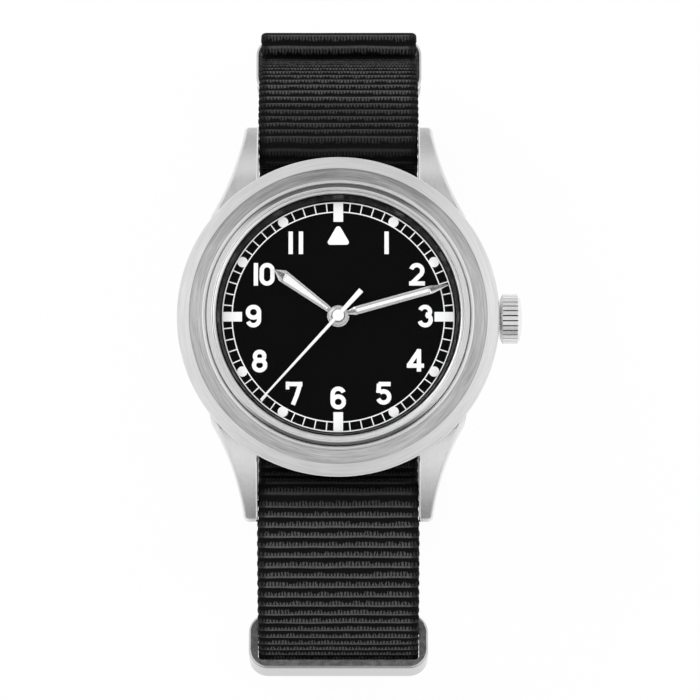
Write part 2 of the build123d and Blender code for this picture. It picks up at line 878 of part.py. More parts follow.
def stator():
    """The stator plate: it joins the coil's core to the ring round the rotor."""
    thickness = stator_top - stator_bottom
    end_y = coil_y + coil_length / 2 + coil_core_spare / 2 + running_gap
    arm_start = (coil_x, end_y)
    length = hypot(rotor_place[0] - arm_start[0], rotor_place[1] - arm_start[1])
    angle = degrees(atan2(rotor_place[1] - arm_start[1], rotor_place[0] - arm_start[0]))
    arm = Pos(*arm_start) * Rot(0, 0, angle) * Pos(length / 2, 0) * Rectangle(length, stator_width / 2)
    outline = arm + Pos(*rotor_place) * Circle(stator_width / 2) - Pos(*rotor_place) * Circle(stator_hole)
    plate = extrude(Plane((0, 0, at_height(stator_bottom))) * outline, amount=thickness)
    core = extrude(
        Plane((coil_x, coil_y, at_height(coil_z)), x_dir=(1, 0, 0), z_dir=(0, 1, 0))
        * Circle(coil_flange_radius + running_gap),
        amount=coil_length / 2 + running_gap,
    )
    core_end = extrude(
        Plane((coil_x, coil_y, at_height(coil_z)), x_dir=(1, 0, 0), z_dir=(0, 1, 0))
        * Circle(coil_core_radius + seat_gap),
        amount=coil_length / 2 + coil_core_spare + running_gap,
    )
    return plate - core - core_end


def battery():
    """The button cell, with its narrower negative cap towards the dial."""
    cap = disc(battery_radius - battery_lip, battery_top - battery_lip, battery_top, battery_x, battery_y)
    low = battery_top - battery_height
    return cap + disc(battery_radius, low, battery_top - battery_lip, battery_x, battery_y)


def battery_clamp():
    """The sheet clamp across the back of the cell."""
    low = battery_top - battery_height - clamp_thickness
    angle = degrees(atan2(battery_y, battery_x)) + 90
    outline = Pos(battery_x, battery_y) * Rot(0, 0, angle) * SlotOverall(clamp_length, clamp_width)
    return extrude(Plane((0, 0, at_height(low))) * outline, amount=clamp_thickness)


# Crown and setting parts


def crown():
    """The knurled crown with its domed end and the bore that fits over the tube."""
    pitch_angle = 360 / crown_ribs
    points = []
    for index in range(crown_ribs):
        middle = index * pitch_angle
        half_rib = pitch_angle * crown_rib_share / 2
        points += [
            polar(crown_radius, middle - half_rib),
            polar(crown_radius, middle),
            polar(crown_radius, middle + half_rib),
            polar(crown_radius - crown_groove_depth, middle + pitch_angle / 2),
        ]
    length = crown_outer_end - crown_inner_end
    knurl = extrude(make_face(Polyline(*points, close=True)), amount=length)
    spare_radius = crown_radius + crown_groove_depth
    blank = Polyline(
        (0.0, 0.0),
        (crown_chamfer_radius, 0.0),
        (crown_radius, crown_chamfer),
        (spare_radius, crown_chamfer),
        (spare_radius, length - crown_chamfer),
        (crown_radius, length - crown_chamfer),
        (crown_dome_radius, length),
        (0.0, length),
        close=True,
    )
    head = knurl & revolve(Plane.XZ * make_face(blank), axis=Axis.Z)
    head += Pos(0, 0, length) * dome(crown_dome_radius, crown_dome)
    head -= extrude(Circle(crown_bore), amount=crown_bore_end - crown_inner_end)
    head -= extrude(Circle(stem_radius), amount=stem_end() - crown_inner_end)
    return Plane((crown_inner_end, 0, at_height(crown_axis)), x_dir=(0, 1, 0), z_dir=(1, 0, 0)) * head


def stem_end():
    """How far out the stem reaches inside the crown."""
    return crown_outer_end - crown_chamfer


def stem():
    """The winding stem: square at its inner end, with a groove for the setting lever."""
    axis_height = at_height(crown_axis)
    square = Pos((stem_start + stem_square_end) / 2, 0, axis_height) * Box(
        stem_square_end - stem_start, stem_square, stem_square
    )
    shaft = along_x(stem_radius, stem_square_end, stem_end(), 0.0, axis_height)
    groove = along_x(
        stem_radius + overrun,
        stem_groove_x - stem_groove_width / 2,
        stem_groove_x + stem_groove_width / 2,
        0.0,
        axis_height,
        stem_groove_radius,
    )
    return square + (shaft - groove)


def crown_gasket():
    """The ring in the crown that slides on the tube."""
    end = crown_gasket_start + crown_gasket_width
    inner = tube_radius + running_gap
    return along_x(crown_bore, crown_gasket_start, end, 0.0, at_height(crown_axis), inner)


def clutch_wheel():
    """The toothed clutch on the square of the stem."""
    points = []
    pitch_angle = 360 / clutch_teeth
    for index in range(clutch_teeth):
        points.append(polar(clutch_radius, index * pitch_angle))
        points.append(polar(clutch_radius - clutch_tooth_depth, (index + 0.5) * pitch_angle))
    outline = make_face(Polyline(*points, close=True)) - Rectangle(
        stem_square + 2 * running_gap, stem_square + 2 * running_gap
    )
    place = Plane((clutch_start, 0, at_height(crown_axis)), x_dir=(0, 1, 0), z_dir=(1, 0, 0))
    return extrude(place * outline, amount=clutch_length)


def lever_rest_angle():
    """How far the lever leans towards the dial's axis with the crown pushed in."""
    return degrees(crown_travel / 2 / lever_arm)


def lever_pivot():
    """The pivot of the setting lever, beside the stem."""
    lean = radians(lever_rest_angle())
    return (stem_groove_x + lever_arm * sin(lean), -lever_arm * cos(lean))


def setting_lever():
    """The setting lever: its pin rides in the stem's groove."""
    low = lever_top - lever_thickness
    start = lever_pivot()
    lean = lever_rest_angle()
    arm = Pos(0, (lever_arm - lever_tail) / 2) * Rectangle(lever_width, lever_arm + lever_tail)
    arm += Pos(0, lever_arm) * Circle(lever_width / 2)
    arm += Pos(0, -lever_tail) * Circle(lever_width / 2)
    arm -= Circle(lever_pivot_radius + running_gap)
    plate = extrude(Plane((0, 0, at_height(low))) * arm, amount=lever_thickness)
    pin_top = crown_axis - stem_groove_radius - 2 * running_gap
    pin = disc(lever_pin_radius, low, pin_top, 0.0, lever_arm)
    return Pos(start[0], start[1], 0) * Rot(0, 0, lean) * (plate + pin)


# Spring bars


def spring_bar_barrel(side):
    """The hollow barrel of a spring bar; side is 1 at twelve o'clock and -1 at six."""
    place = (side * bar_reach, at_height(-bar_drop))
    return along_x(bar_radius, -bar_half_length, bar_half_length, *place, bar_bore)


def spring_bar_tip(side, hand_side):
    """A sprung tip: shank in the barrel, flange and pin in the lug."""
    y = side * bar_reach
    z = at_height(-bar_drop)
    flange_end = bar_flange_start + bar_flange
    tip = along_x(bar_tip_shank, bar_tip_shank_start, bar_flange_start, y, z)
    tip += along_x(bar_flange_radius, bar_flange_start, flange_end, y, z)
    tip += along_x(bar_pin_radius, flange_end, lug_gap / 2 + bar_pin_length, y, z)
    return tip if hand_side > 0 else mirror(tip, Plane.YZ)


def spring_bar_spring(side):
    """The room that the bar's coil spring fills between its two tips."""
    end = bar_tip_shank_start - seat_gap
    return along_x(bar_spring_radius, -end, end, side * bar_reach, at_height(-bar_drop), bar_spring_bore)


# Strap


def ribbon(points, radii):
    """A strap of webbing along a line and arc path in the YZ plane, with its path."""
    path = Plane.YZ * FilletPolyline(*points, radius=radii)
    start = Plane(origin=path @ 0, x_dir=(1, 0, 0), z_dir=path % 0)
    return sweep(start * Rectangle(strap_width, strap_thickness), path=path), path


def over_bar(side, slope):
    """The corner of the strap's path above a spring bar."""
    lean = radians(slope)
    y = bar_reach - wrap_radius
    z = at_height(-bar_drop) + wrap_radius * (1 + sin(lean)) / cos(lean)
    return side * y, z


def slope_corner(side, slope, reach):
    """Where the sloping run from the bar meets the upright run at the given reach."""
    y, z = over_bar(side, slope)
    return side * reach, z - (reach - abs(y)) * tan(radians(slope))


def main_strap_points():
    """The corners of the main strap's path with the radius of each, from its hem to its tip."""
    low_y = reach_12
    fold_gap = 2 * (strap_thickness / 2 + layer_gap / 2)
    tail_reach = reach_12 + layer_pitch
    end_reach = tail_reach + fold_gap + layer_gap / 2
    out_reach = tail_reach + 2 * fold_radius
    corner_12 = slope_corner(1, slope_12, reach_12)
    corner_6 = slope_corner(-1, slope_6, reach_6)
    under_z = at_height(under_case)
    down_y = bar_reach - wrap_radius
    loop = layer_pitch
    return [
        ((buckle_pivot + hem_length, hem_level), None),
        ((buckle_pivot - loop, hem_level), loop * turn_share),
        ((buckle_pivot - loop, main_level), loop * turn_share),
        ((low_y, main_level), low_bend_12),
        (corner_12, bend_12),
        (over_bar(1, slope_12), wrap_radius),
        ((down_y, under_z), under_case_bend),
        ((-down_y, under_z), under_case_bend),
        (over_bar(-1, slope_6), wrap_radius),
        (corner_6, bend_6),
        ((-reach_6, lean_height_6), lean_bend_6),
        ((lean_in_6 - reach_6, tail_level), low_bend_6),
        ((buckle_far_bar - ramp_run, tail_level), tang_bend),
        ((buckle_far_bar - buckle_frame_bar, over_bar_level), tang_bend),
        ((buckle_far_bar + 2 * buckle_frame_bar, over_bar_level), tang_bend),
        ((buckle_pivot - 2 * loop, tail_level), tang_bend),
        ((tail_reach, tail_level), low_bend_12 + layer_pitch),
        ((tail_reach, fold_height + fold_radius), fold_radius * turn_share),
        ((out_reach, fold_height + fold_radius), fold_radius * turn_share),
        ((out_reach, fold_height - fold_lean / 2), fold_bend),
        ((end_reach, fold_height - fold_lean), fold_bend),
        ((end_reach, tail_end_height), None),
    ]


def main_strap():
    """The long strap: round the buckle's bar, over both spring bars and back through buckle and keepers."""
    corners = main_strap_points()
    strap, path = ribbon([point for point, _ in corners], [radius for _, radius in corners[1:-1]])
    print("main strap: path", round(path.length, 1), "mm")
    drill = strap_thickness + layer_gap
    slot_at = distance_to(path, tang_crossing())
    for index in range(-holes_before_tang, holes_after_tang + 1):
        distance = slot_at + index * hole_pitch
        centre = path.position_at(distance, position_mode=PositionMode.LENGTH)
        place = Plane(origin=centre, x_dir=(1, 0, 0), z_dir=normal_of(path, distance))
        hole = Circle(hole_radius)
        if index == 0:
            hole = Rot(0, 0, 90) * SlotOverall(tang_slot_length, 2 * hole_radius)
        strap -= extrude(place * hole, amount=drill / 2, both=True)
    eye_reach = tang_eye() + tang_slot_gap
    hem_height = 2 * layer_pitch + strap_thickness + layer_gap
    slot_length = 2 * eye_reach + strap_thickness
    slot = Box(tang_slot_width, slot_length, hem_height)
    return strap - Pos(0, buckle_pivot - strap_thickness / 2, pivot_level) * slot


def normal_of(path, distance):
    """The direction square to the strap's face at a distance along its path."""
    tangent = path.tangent_at(distance, position_mode=PositionMode.LENGTH)
    return Vector(0, -tangent.Z, tangent.Y)


def distance_to(path, point):
    """How far along the path the point nearest to the given one lies, by halving the step."""

    def miss(length):
        return (path.position_at(length, position_mode=PositionMode.LENGTH) - point).length

    step = strap_thickness
    best = min((index * step for index in range(1, int(path.length / step))), key=miss)
    while step > running_gap:
        step /= 2
        best = min((best - step, best, best + step), key=miss)
    return best


def tang_crossing():
    """Where the tang passes through the strap."""
    return Vector(0, crossing_y(), pivot_level - tang_slope * (buckle_pivot - crossing_y()))


def crossing_y():
    """The y at which the strap's slanting run meets the straight tang."""
    strap_start = buckle_far_bar + 2 * buckle_frame_bar
    strap_end = buckle_pivot - 2 * layer_pitch
    strap_slope = (tail_level - over_bar_level) / (strap_end - strap_start)
    tang_rise = over_bar_level - strap_slope * strap_start - pivot_level + tang_slope * buckle_pivot
    return tang_rise / (tang_slope - strap_slope)


def ring_centre():
    """The place on the strap's centreline where the third ring holds it, in y and z."""
    corner_y, corner_z = slope_corner(-1, slope_6, reach_6)
    upright_from = corner_z - bend_6 * tan(radians(90 - slope_6) / 2)
    lean = radians(ring_slope)
    return corner_y + bend_6 * (1 - sin(lean)), upright_from + bend_6 * cos(lean)


def ring_directions():
    """Unit vectors of the third ring in y and z: inwards from the strap, and up along it."""
    lean = radians(ring_slope)
    return (sin(lean), -cos(lean)), (cos(lean), sin(lean))


def ring_point(inward, upward):
    """A point given from the third ring's place on the strap."""
    centre = ring_centre()
    into, up = ring_directions()
    return centre[0] + inward * into[0] + upward * up[0], centre[1] + inward * into[1] + upward * up[1]


def ring_bar_inward():
    """How far inside the strap's centreline the middle of the third ring's inner bar lies."""
    return ring_depth - strap_thickness / 2 - ring_gap - 1.5 * ring_wall


def under_strap_points():
    """The corners of the under-strap's path, from the buckle's hem to its loop on the third ring."""
    under_z = at_height(under_case) - layer_pitch
    half_loop = ring_wall / 2 + bar_clearance + strap_thickness / 2
    bar = ring_bar_inward()
    low = -ring_band / 2 - bar_clearance
    inner_low = ring_point(bar + half_loop, low - half_loop)
    outer_low = ring_point(bar - half_loop, low - half_loop)
    leg_top = ring_point(bar + half_loop, ring_band / 2 + loop_spare)
    under_reach_6 = bar_reach + under_reach_share * (reach_6 - bar_reach)
    under_bend_6 = under_bend_share * (under_z - leg_top[1])
    hem_shift = 2 * half_loop - layer_pitch
    hem_from = ring_band / 2 + loop_spare
    return [
        ((buckle_pivot + under_start_gap, pivot_level), None),
        ((under_reach_12, pivot_level), under_low_bend),
        ((under_reach_12, under_z), under_bend_12),
        ((-under_reach_6, under_z), under_bend_6),
        (leg_top, under_leg_bend),
        (inner_low, half_loop * turn_share),
        (outer_low, half_loop * turn_share),
        (ring_point(bar - half_loop, hem_from), strap_thickness),
        (ring_point(bar - half_loop + hem_shift, hem_from + 2 * hem_shift), strap_thickness),
        (ring_point(bar - half_loop + hem_shift, hem_from + 2 * hem_shift + loop_hem), None),
    ]


def under_strap():
    """The short strap under the case, sewn at the buckle and round the third ring."""
    corners = under_strap_points()
    strap, path = ribbon([point for point, _ in corners], [radius for _, radius in corners[1:-1]])
    print("under-strap: path", round(path.length, 1), "mm")
    return strap


# Keeper rings


def band_ring(width, depth, wall, bar, corner, inner_corner, band, plane):
    """A ring of flat band, rounded at its corners, lying in the given plane."""
    outer = RectangleRounded(width, depth, corner)
    inner = RectangleRounded(width - 2 * wall, depth - 2 * bar, inner_corner)
    blank = extrude(outer, amount=band / 2, both=True)
    rims = blank.faces().filter_by(Axis.Z).edges()
    return plane * (fillet(rims, ring_edge) - extrude(inner, amount=band / 2, both=True))


def keeper_ring(height):
    """A keeper ring on the upright run of the strap."""
    inner_face = reach_12 - strap_thickness / 2 - keeper_gap
    outer_face = reach_12 + 2 * layer_pitch + layer_gap / 2 + strap_thickness / 2 + keeper_gap
    depth = outer_face - inner_face + 2 * keeper_bar
    middle = (outer_face + inner_face) / 2
    plane = Plane((0, middle, height))
    corners = (keeper_corner, keeper_inner_corner)
    return band_ring(keeper_width, depth, keeper_wall, keeper_bar, *corners, keeper_band, plane)


def third_ring():
    """The ring at six o'clock, leaning with the strap that it holds."""
    outward = strap_thickness / 2 + ring_gap + ring_wall
    middle = ring_point(ring_depth / 2 - outward, 0.0)
    _, up = ring_directions()
    plane = Plane((0, middle[0], middle[1]), x_dir=(1, 0, 0), z_dir=(0, up[0], up[1]))
    corners = (ring_corner, ring_inner_corner)
    return band_ring(ring_width, ring_depth, ring_wall, ring_wall, *corners, ring_band, plane)


# Buckle


def buckle_frame():
    """The buckle's frame: two side arms and the round bar that the tang rests on."""
    inner = strap_width / 2 + buckle_side_gap
    outer = inner + buckle_side_width
    rise = pivot_level - far_bar_level
    lean = degrees(atan2(rise, buckle_pivot - buckle_far_bar))
    length = hypot(rise, buckle_pivot - buckle_far_bar)
    frame = along_x(buckle_frame_bar, -outer, outer, buckle_far_bar, far_bar_level)
    for side in (1, -1):
        arm = SlotOverall(length + buckle_side_height, buckle_side_height)
        place = Plane((side * inner, buckle_far_bar, far_bar_level), x_dir=(0, 1, 0), z_dir=(1, 0, 0))
        outline = Rot(0, 0, lean) * Pos(length / 2, 0) * arm
        frame += extrude(place * outline, amount=side * buckle_side_width)
    hole = along_x(buckle_bar_radius, -outer - overrun, outer + overrun, buckle_pivot, pivot_level)
    return frame - hole


def buckle_bar():
    """The pin across the buckle that the strap's hem is sewn round."""
    outer = strap_width / 2 + buckle_side_gap + buckle_side_width
    return along_x(buckle_bar_radius, -outer, outer, buckle_pivot, pivot_level)


def tang_eye():
    """The outer radius of the tang's eye."""
    return buckle_bar_radius + running_gap + tang_eye_wall


def buckle_tang():
    """The tang: an eye on the pin and a tongue that rests on the far bar."""
    eye = tang_eye()
    length = hypot(tang_run, tang_fall)
    lean = degrees(atan2(tang_fall, tang_run))
    tongue = Pos(-length / 2, 0) * Rectangle(length, tang_thickness)
    outline = tongue + Pos(-length, 0) * Circle(tang_thickness / 2) + Circle(eye)
    outline -= Circle(buckle_bar_radius + running_gap)
    place = Plane((-tang_width / 2, buckle_pivot, pivot_level), x_dir=(0, 1, 0), z_dir=(1, 0, 0))
    return extrude(place * Rot(0, 0, lean) * outline, amount=tang_width)


def parts():
    """Every node of the watch, by name."""
    nodes = {
        "case_body": case_body(),
        "case_tube": case_tube(),
        "bezel": bezel(),
        "crystal": crystal(),
        "crystal_gasket": crystal_gasket(),
        "rehaut": rehaut(),
        "dial": dial(),
        "hour_hand": hour_hand(),
        "minute_hand": minute_hand(),
        "seconds_hand": seconds_hand(),
        "case_back": case_back(),
        "case_back_gasket": case_back_gasket(),
        "movement_holder": movement_holder(),
        "main_plate": main_plate(),
        "train_bridge": train_bridge(),
        "circuit_board": circuit_board(),
        "coil": coil(),
        "stator": stator(),
        "rotor": rotor(),
        "fifth_wheel": fifth_wheel(),
        "fourth_wheel": fourth_wheel(),
        "third_wheel": third_wheel(),
        "centre_wheel": centre_wheel(),
        "cannon_pinion": cannon_pinion(),
        "minute_wheel": minute_wheel(),
        "hour_wheel": hour_wheel(),
        "battery": battery(),
        "battery_clamp": battery_clamp(),
        "crown": crown(),
        "stem": stem(),
        "crown_gasket": crown_gasket(),
        "clutch_wheel": clutch_wheel(),
        "setting_lever": setting_lever(),
        "main_strap": main_strap(),
        "under_strap": under_strap(),
        "keeper_ring_1": keeper_ring(keeper_1_height),
        "keeper_ring_2": keeper_ring(keeper_2_height),
        "keeper_ring_3": third_ring(),
        "buckle_frame": buckle_frame(),
        "buckle_bar": buckle_bar(),
        "buckle_tang": buckle_tang(),
    }
    for side, hour in ((1, "12"), (-1, "6")):
        nodes["spring_bar_" + hour] = spring_bar_barrel(side)
        nodes["bar_spring_" + hour] = spring_bar_spring(side)
        nodes["bar_tip_" + hour + "_right"] = spring_bar_tip(side, 1)
        nodes["bar_tip_" + hour + "_left"] = spring_bar_tip(side, -1)
    return nodes


os.makedirs("parts", exist_ok=True)
for name, solid in parts().items():
    export_step(solid, "parts/" + name + ".step")
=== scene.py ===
"""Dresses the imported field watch: woven strap, dial print, lume, finishes, studio and camera."""

import json
import math

import bpy
from mathutils import Matrix, Vector


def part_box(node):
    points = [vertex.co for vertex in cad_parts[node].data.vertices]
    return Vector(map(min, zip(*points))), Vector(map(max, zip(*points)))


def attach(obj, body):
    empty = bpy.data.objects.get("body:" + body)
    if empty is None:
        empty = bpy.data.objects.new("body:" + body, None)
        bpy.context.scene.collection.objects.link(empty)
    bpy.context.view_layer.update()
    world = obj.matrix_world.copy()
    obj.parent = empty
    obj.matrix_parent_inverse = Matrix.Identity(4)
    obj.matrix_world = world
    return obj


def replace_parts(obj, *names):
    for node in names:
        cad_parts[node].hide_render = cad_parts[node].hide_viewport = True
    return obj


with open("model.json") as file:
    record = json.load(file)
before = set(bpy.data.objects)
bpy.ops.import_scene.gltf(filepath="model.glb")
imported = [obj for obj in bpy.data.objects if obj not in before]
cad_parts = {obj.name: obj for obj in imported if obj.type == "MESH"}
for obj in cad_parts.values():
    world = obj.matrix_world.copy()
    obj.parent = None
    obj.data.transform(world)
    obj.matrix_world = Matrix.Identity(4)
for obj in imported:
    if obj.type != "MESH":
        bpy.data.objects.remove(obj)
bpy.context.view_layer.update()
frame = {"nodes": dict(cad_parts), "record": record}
nodes = frame["nodes"]
slot_of = {row["node"]: row["material_slot"] for row in frame["record"]["subparts"]}

MM = 0.001
HEAD = "head_and_strap"
DIAL_TOP = round(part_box("dial")[1][2] / MM, 3)  # height of the dial's upper face, in mm


# Objects and meshes


def linked(name, data):
    """A new object in the scene that holds a mesh, curve, lamp or camera."""
    holder = bpy.data.objects.new(name, data)
    bpy.context.scene.collection.objects.link(holder)
    return holder


def discard(*spent):
    """Removes objects that were only needed to make a piece."""
    for holder in spent:
        bpy.data.objects.remove(holder)


def mesh_of(name, shape, material):
    """A mesh of one material from a shape: its points, in millimetres, and its faces."""
    points, faces = shape
    mesh = bpy.data.meshes.new(name)
    mesh.from_pydata([Vector(p) * MM for p in points], [], faces)
    mesh.materials.append(material)
    return mesh


def dressed(name, mesh, body):
    """A piece that rides on a body."""
    mesh.name = name
    piece = linked(name, mesh)
    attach(piece, body)
    return piece


def mesh_piece(name, shape, material, body, smooth=False):
    """A piece made from a shape."""
    mesh = mesh_of(name, shape, material)
    mesh.validate()
    for face in mesh.polygons:
        face.use_smooth = smooth
    return dressed(name, mesh, body)


def evaluated(holder, modifier):
    """The plain mesh that a modifier makes of an object, which then loses the modifier."""
    bpy.context.view_layer.update()
    graph = bpy.context.evaluated_depsgraph_get()
    mesh = bpy.data.meshes.new_from_object(holder.evaluated_get(graph))
    holder.modifiers.remove(modifier)
    return mesh


# Outlines and shapes, in millimetres. A shape is a list of points and a list of faces.


def arc(centre, radius_x, radius_y, start, end, steps=14):
    """Points on an ellipse from one angle to another, in degrees."""
    turns = [math.radians(start + (end - start) * k / steps) for k in range(steps + 1)]
    return [(centre[0] + radius_x * math.cos(t), centre[1] + radius_y * math.sin(t)) for t in turns]


def circle(radius, count):
    """The outline of a circle round the origin."""
    return arc((0, 0), radius, radius, 0, 360 - 360 / count, count - 1)


def joined(*shapes):
    """Several shapes as one."""
    points, faces = [], []
    for more_points, more_faces in shapes:
        faces += [[len(points) + index for index in face] for face in more_faces]
        points += more_points
    return points, faces


def lofted(sections):
    """A closed shape through sections that have equally many points."""
    count, last = len(sections[0]), (len(sections) - 1) * len(sections[0])
    faces = [[row + k, row + (k + 1) % count, row + count + (k + 1) % count, row + count + k]
             for row in range(0, last, count) for k in range(count)]
    faces += [list(range(count))[::-1], list(range(last, last + count))]
    return [point for section in sections for point in section], faces


def turned(profile, steps=96):
    """A ring turned round the middle of the dial from an (r, z) outline."""
    count = len(profile)
    turns = [2 * math.pi * step / steps for step in range(steps)]
    points = [(r * math.cos(t), r * math.sin(t), z) for t in turns for r, z in profile]
    faces = [[step * count + k, (step + 1) % steps * count + k,
              (step + 1) % steps * count + (k + 1) % count, step * count + (k + 1) % count]
             for step in range(steps) for k in range(count)]
    return points, faces


def plate(outline, low, high):
    """A flat plate over a convex outline."""
    return lofted([[(p[0], p[1], level) for p in outline] for level in (low, high)])


# Colours and node helpers


def linear(value):
    """The linear value of a grey level from 0 to 255."""
    share = value / 255
    return share / 12.92 if share <= 0.04045 else ((share + 0.055) / 1.055) ** 2.4


def grey(value, warmth=0.0):
    """A grey from 0 to 255 as a colour, with a little red added and blue taken away by warmth."""
    level = linear(value)
    return (level * (1 + warmth), level, level * (1 - warmth), 1.0)


WHITE = (1.0, 1.0, 1.0, 1.0)


class Nodes:
    """Adds nodes to a tree and links them in one call each."""

    def __init__(self, tree):
        self.tree = tree

    def add(self, kind, settings=None, **inputs):
        node = self.tree.nodes.new(kind)
        for key, value in (settings or {}).items():
            setattr(node, key, value)
        for key, value in inputs.items():
            self.feed(node, key, value)
        return node

    def feed(self, node, key, value):
        """Links or sets an input, by its name with underscores or by its number after an i."""
        named = [s for s in node.inputs if s.enabled and s.name.replace(" ", "_") == key]
        socket = named[0] if named else node.inputs[int(key.lstrip("i"))]
        if isinstance(value, bpy.types.NodeSocket):
            self.tree.links.new(value, socket)
        else:
            socket.default_value = value

    def math(self, operation, first, second=0.0):
        return self.add("ShaderNodeMath", {"operation": operation}, i0=first, i1=second).outputs[0]

    def product(self, first, *others):
        for other in others:
            first = self.math("MULTIPLY", first, other)
        return first

    def size(self, value):
        """The value without its sign."""
        return self.math("ABSOLUTE", value)

    def vector(self, **axes):
        return self.add("ShaderNodeCombineXYZ", **axes).outputs[0]

    def axes(self, vector):
        return self.add("ShaderNodeSeparateXYZ", Vector=vector).outputs

    def vector_math(self, operation, first, second=(0.0, 0.0, 0.0)):
        node = self.add("ShaderNodeVectorMath", {"operation": operation}, i0=first, i1=second)
        return node.outputs["Vector"]

    def length(self, vector):
        return self.add("ShaderNodeVectorMath", {"operation": "LENGTH"}, i0=vector).outputs["Value"]

    def scaled(self, vector, factor):
        node = self.add("ShaderNodeVectorMath", {"operation": "SCALE"}, i0=vector, Scale=factor)
        return node.outputs["Vector"]

    def noise(self, vector, scale, detail=3.0, roughness=0.55):
        return self.add("ShaderNodeTexNoise", Vector=vector, Scale=scale, Detail=detail,
                        Roughness=roughness).outputs["Fac"]

    def spread(self, value, low, high, to_low=0.0, to_high=1.0):
        """The value carried from one range to another, and held at the ends of it."""
        return self.add("ShaderNodeMapRange", {"clamp": True}, i0=value, i1=low, i2=high,
                        i3=to_low, i4=to_high).outputs[0]

    def varied(self, noise, low=0.0, high=1.0):
        """The middle part of a noise, where most of it lies, carried to a range."""
        return self.spread(noise, 0.3, 0.7, low, high)

    def blend(self, factor, first, second):
        """A colour between two others."""
        return self.add("ShaderNodeMix", {"data_type": "RGBA"}, i0=factor, i6=first,
                        i7=second).outputs[2]

    def mixed(self, factor, first, second):
        """A shader node between two others."""
        return self.add("ShaderNodeMixShader", i0=factor, i1=first.outputs[0], i2=second.outputs[0])

    def bump(self, height, strength, distance):
        return self.add("ShaderNodeBump", Height=height, Strength=strength,
                        Distance=distance).outputs["Normal"]

    def placed(self, group, **inputs):
        """The outputs of a shared effect."""
        return self.add("ShaderNodeGroup", {"node_tree": group}, **inputs).outputs


def empty_tree(owner):
    """The node helper of a material or world whose tree is empty."""
    owner.use_nodes = True
    owner.node_tree.nodes.clear()
    return Nodes(owner.node_tree)


# Shared effects

VECTOR, FLOAT = "NodeSocketVector", "NodeSocketFloat"


def effect_group(name, values, outputs):
    """A shader group with a vector, values with defaults and outputs, its helper, inputs and end."""
    group = bpy.data.node_groups.new(name, "ShaderNodeTree")
    group.interface.new_socket("Vector", in_out="INPUT", socket_type=VECTOR)
    for label, default in values.items():
        socket = group.interface.new_socket(label, in_out="INPUT", socket_type=FLOAT)
        socket.default_value = default
    for label in outputs:
        group.interface.new_socket(label, in_out="OUTPUT", socket_type=FLOAT)
    n = Nodes(group)
    return group, n, n.add("NodeGroupInput").outputs, n.add("NodeGroupOutput")


def make_turned_grain():
    """Fine scratches round the Z axis, as a wheel leaves on a ring."""
    group, n, given, out = effect_group(
        "turned_grain", {"Fineness": 6000.0, "Length": 14.0}, ("Scratches", "Patches"))
    x, y, z = n.axes(given["Vector"])
    flat = n.vector(X=x, Y=y)
    around = n.vector_math("NORMALIZE", flat)
    depth = n.product(n.math("ADD", n.length(flat), z), given["Fineness"])
    lifted = n.vector(Z=depth)
    place = n.vector_math("ADD", n.scaled(around, given["Length"]), lifted)
    n.feed(out, "Scratches", n.noise(place, 1.0, 4.0, 0.7))
    broad = n.vector_math("ADD", n.scaled(around, 1.3), n.scaled(lifted, 0.06))
    n.feed(out, "Patches", n.noise(broad, 1.0, 2.0, 0.5))
    return group


def make_straight_grain():
    """Fine scratches along the Y axis."""
    group, n, given, out = effect_group(
        "straight_grain", {"Fineness": 6000.0, "Length": 300.0}, ("Scratches", "Patches"))
    x, y, z = n.axes(given["Vector"])
    place = n.vector(X=n.product(x, given["Fineness"]), Y=n.product(y, given["Length"]),
                     Z=n.product(z, given["Fineness"]))
    n.feed(out, "Scratches", n.noise(place, 1.0, 4.0, 0.7))
    n.feed(out, "Patches", n.noise(given["Vector"], 160.0, 2.0, 0.5))
    return group


def make_handling_marks():
    """Faint smears and specks of use, as a mask from 0 to 1."""
    group, n, given, out = effect_group("handling_marks", {"Size": 400.0, "Amount": 0.5}, ("Mask",))
    smears = n.noise(given["Vector"], given["Size"], 5.0, 0.65)
    n.feed(out, "Mask", n.product(n.spread(smears, 0.42, 0.72), given["Amount"]))
    return group


def make_edge_wear():
    """Brighter, barer edges, from how much the surface turns there."""
    group, n, given, out = effect_group("edge_wear", {"Amount": 0.5}, ("Mask",))
    edges = n.spread(n.add("ShaderNodeNewGeometry").outputs["Pointiness"], 0.505, 0.56)
    broken = n.spread(n.noise(given["Vector"], 900.0), 0.35, 0.65)
    n.feed(out, "Mask", n.product(edges, broken, given["Amount"]))
    return group


TURNED_GRAIN = make_turned_grain()
STRAIGHT_GRAIN = make_straight_grain()
HANDLING_MARKS = make_handling_marks()
EDGE_WEAR = make_edge_wear()


# Finishes

BAND_RADIUS = 16.63  # where the bezel's outer band meets its inner one, in mm
RIB_PITCH = 1.17  # mm from rib to rib of the webbing
YARN_PITCH = 0.37  # mm from yarn to yarn across it


def new_material(name, **even):
    """A material with its node helper, its shader with even values set, and the Object coordinates."""
    material = bpy.data.materials.new(name)
    n = empty_tree(material)
    shader = n.add("ShaderNodeBsdfPrincipled", **even)
    n.add("ShaderNodeOutputMaterial", Surface=shader.outputs[0])
    return material, n, shader, n.add("ShaderNodeTexCoord").outputs["Object"]


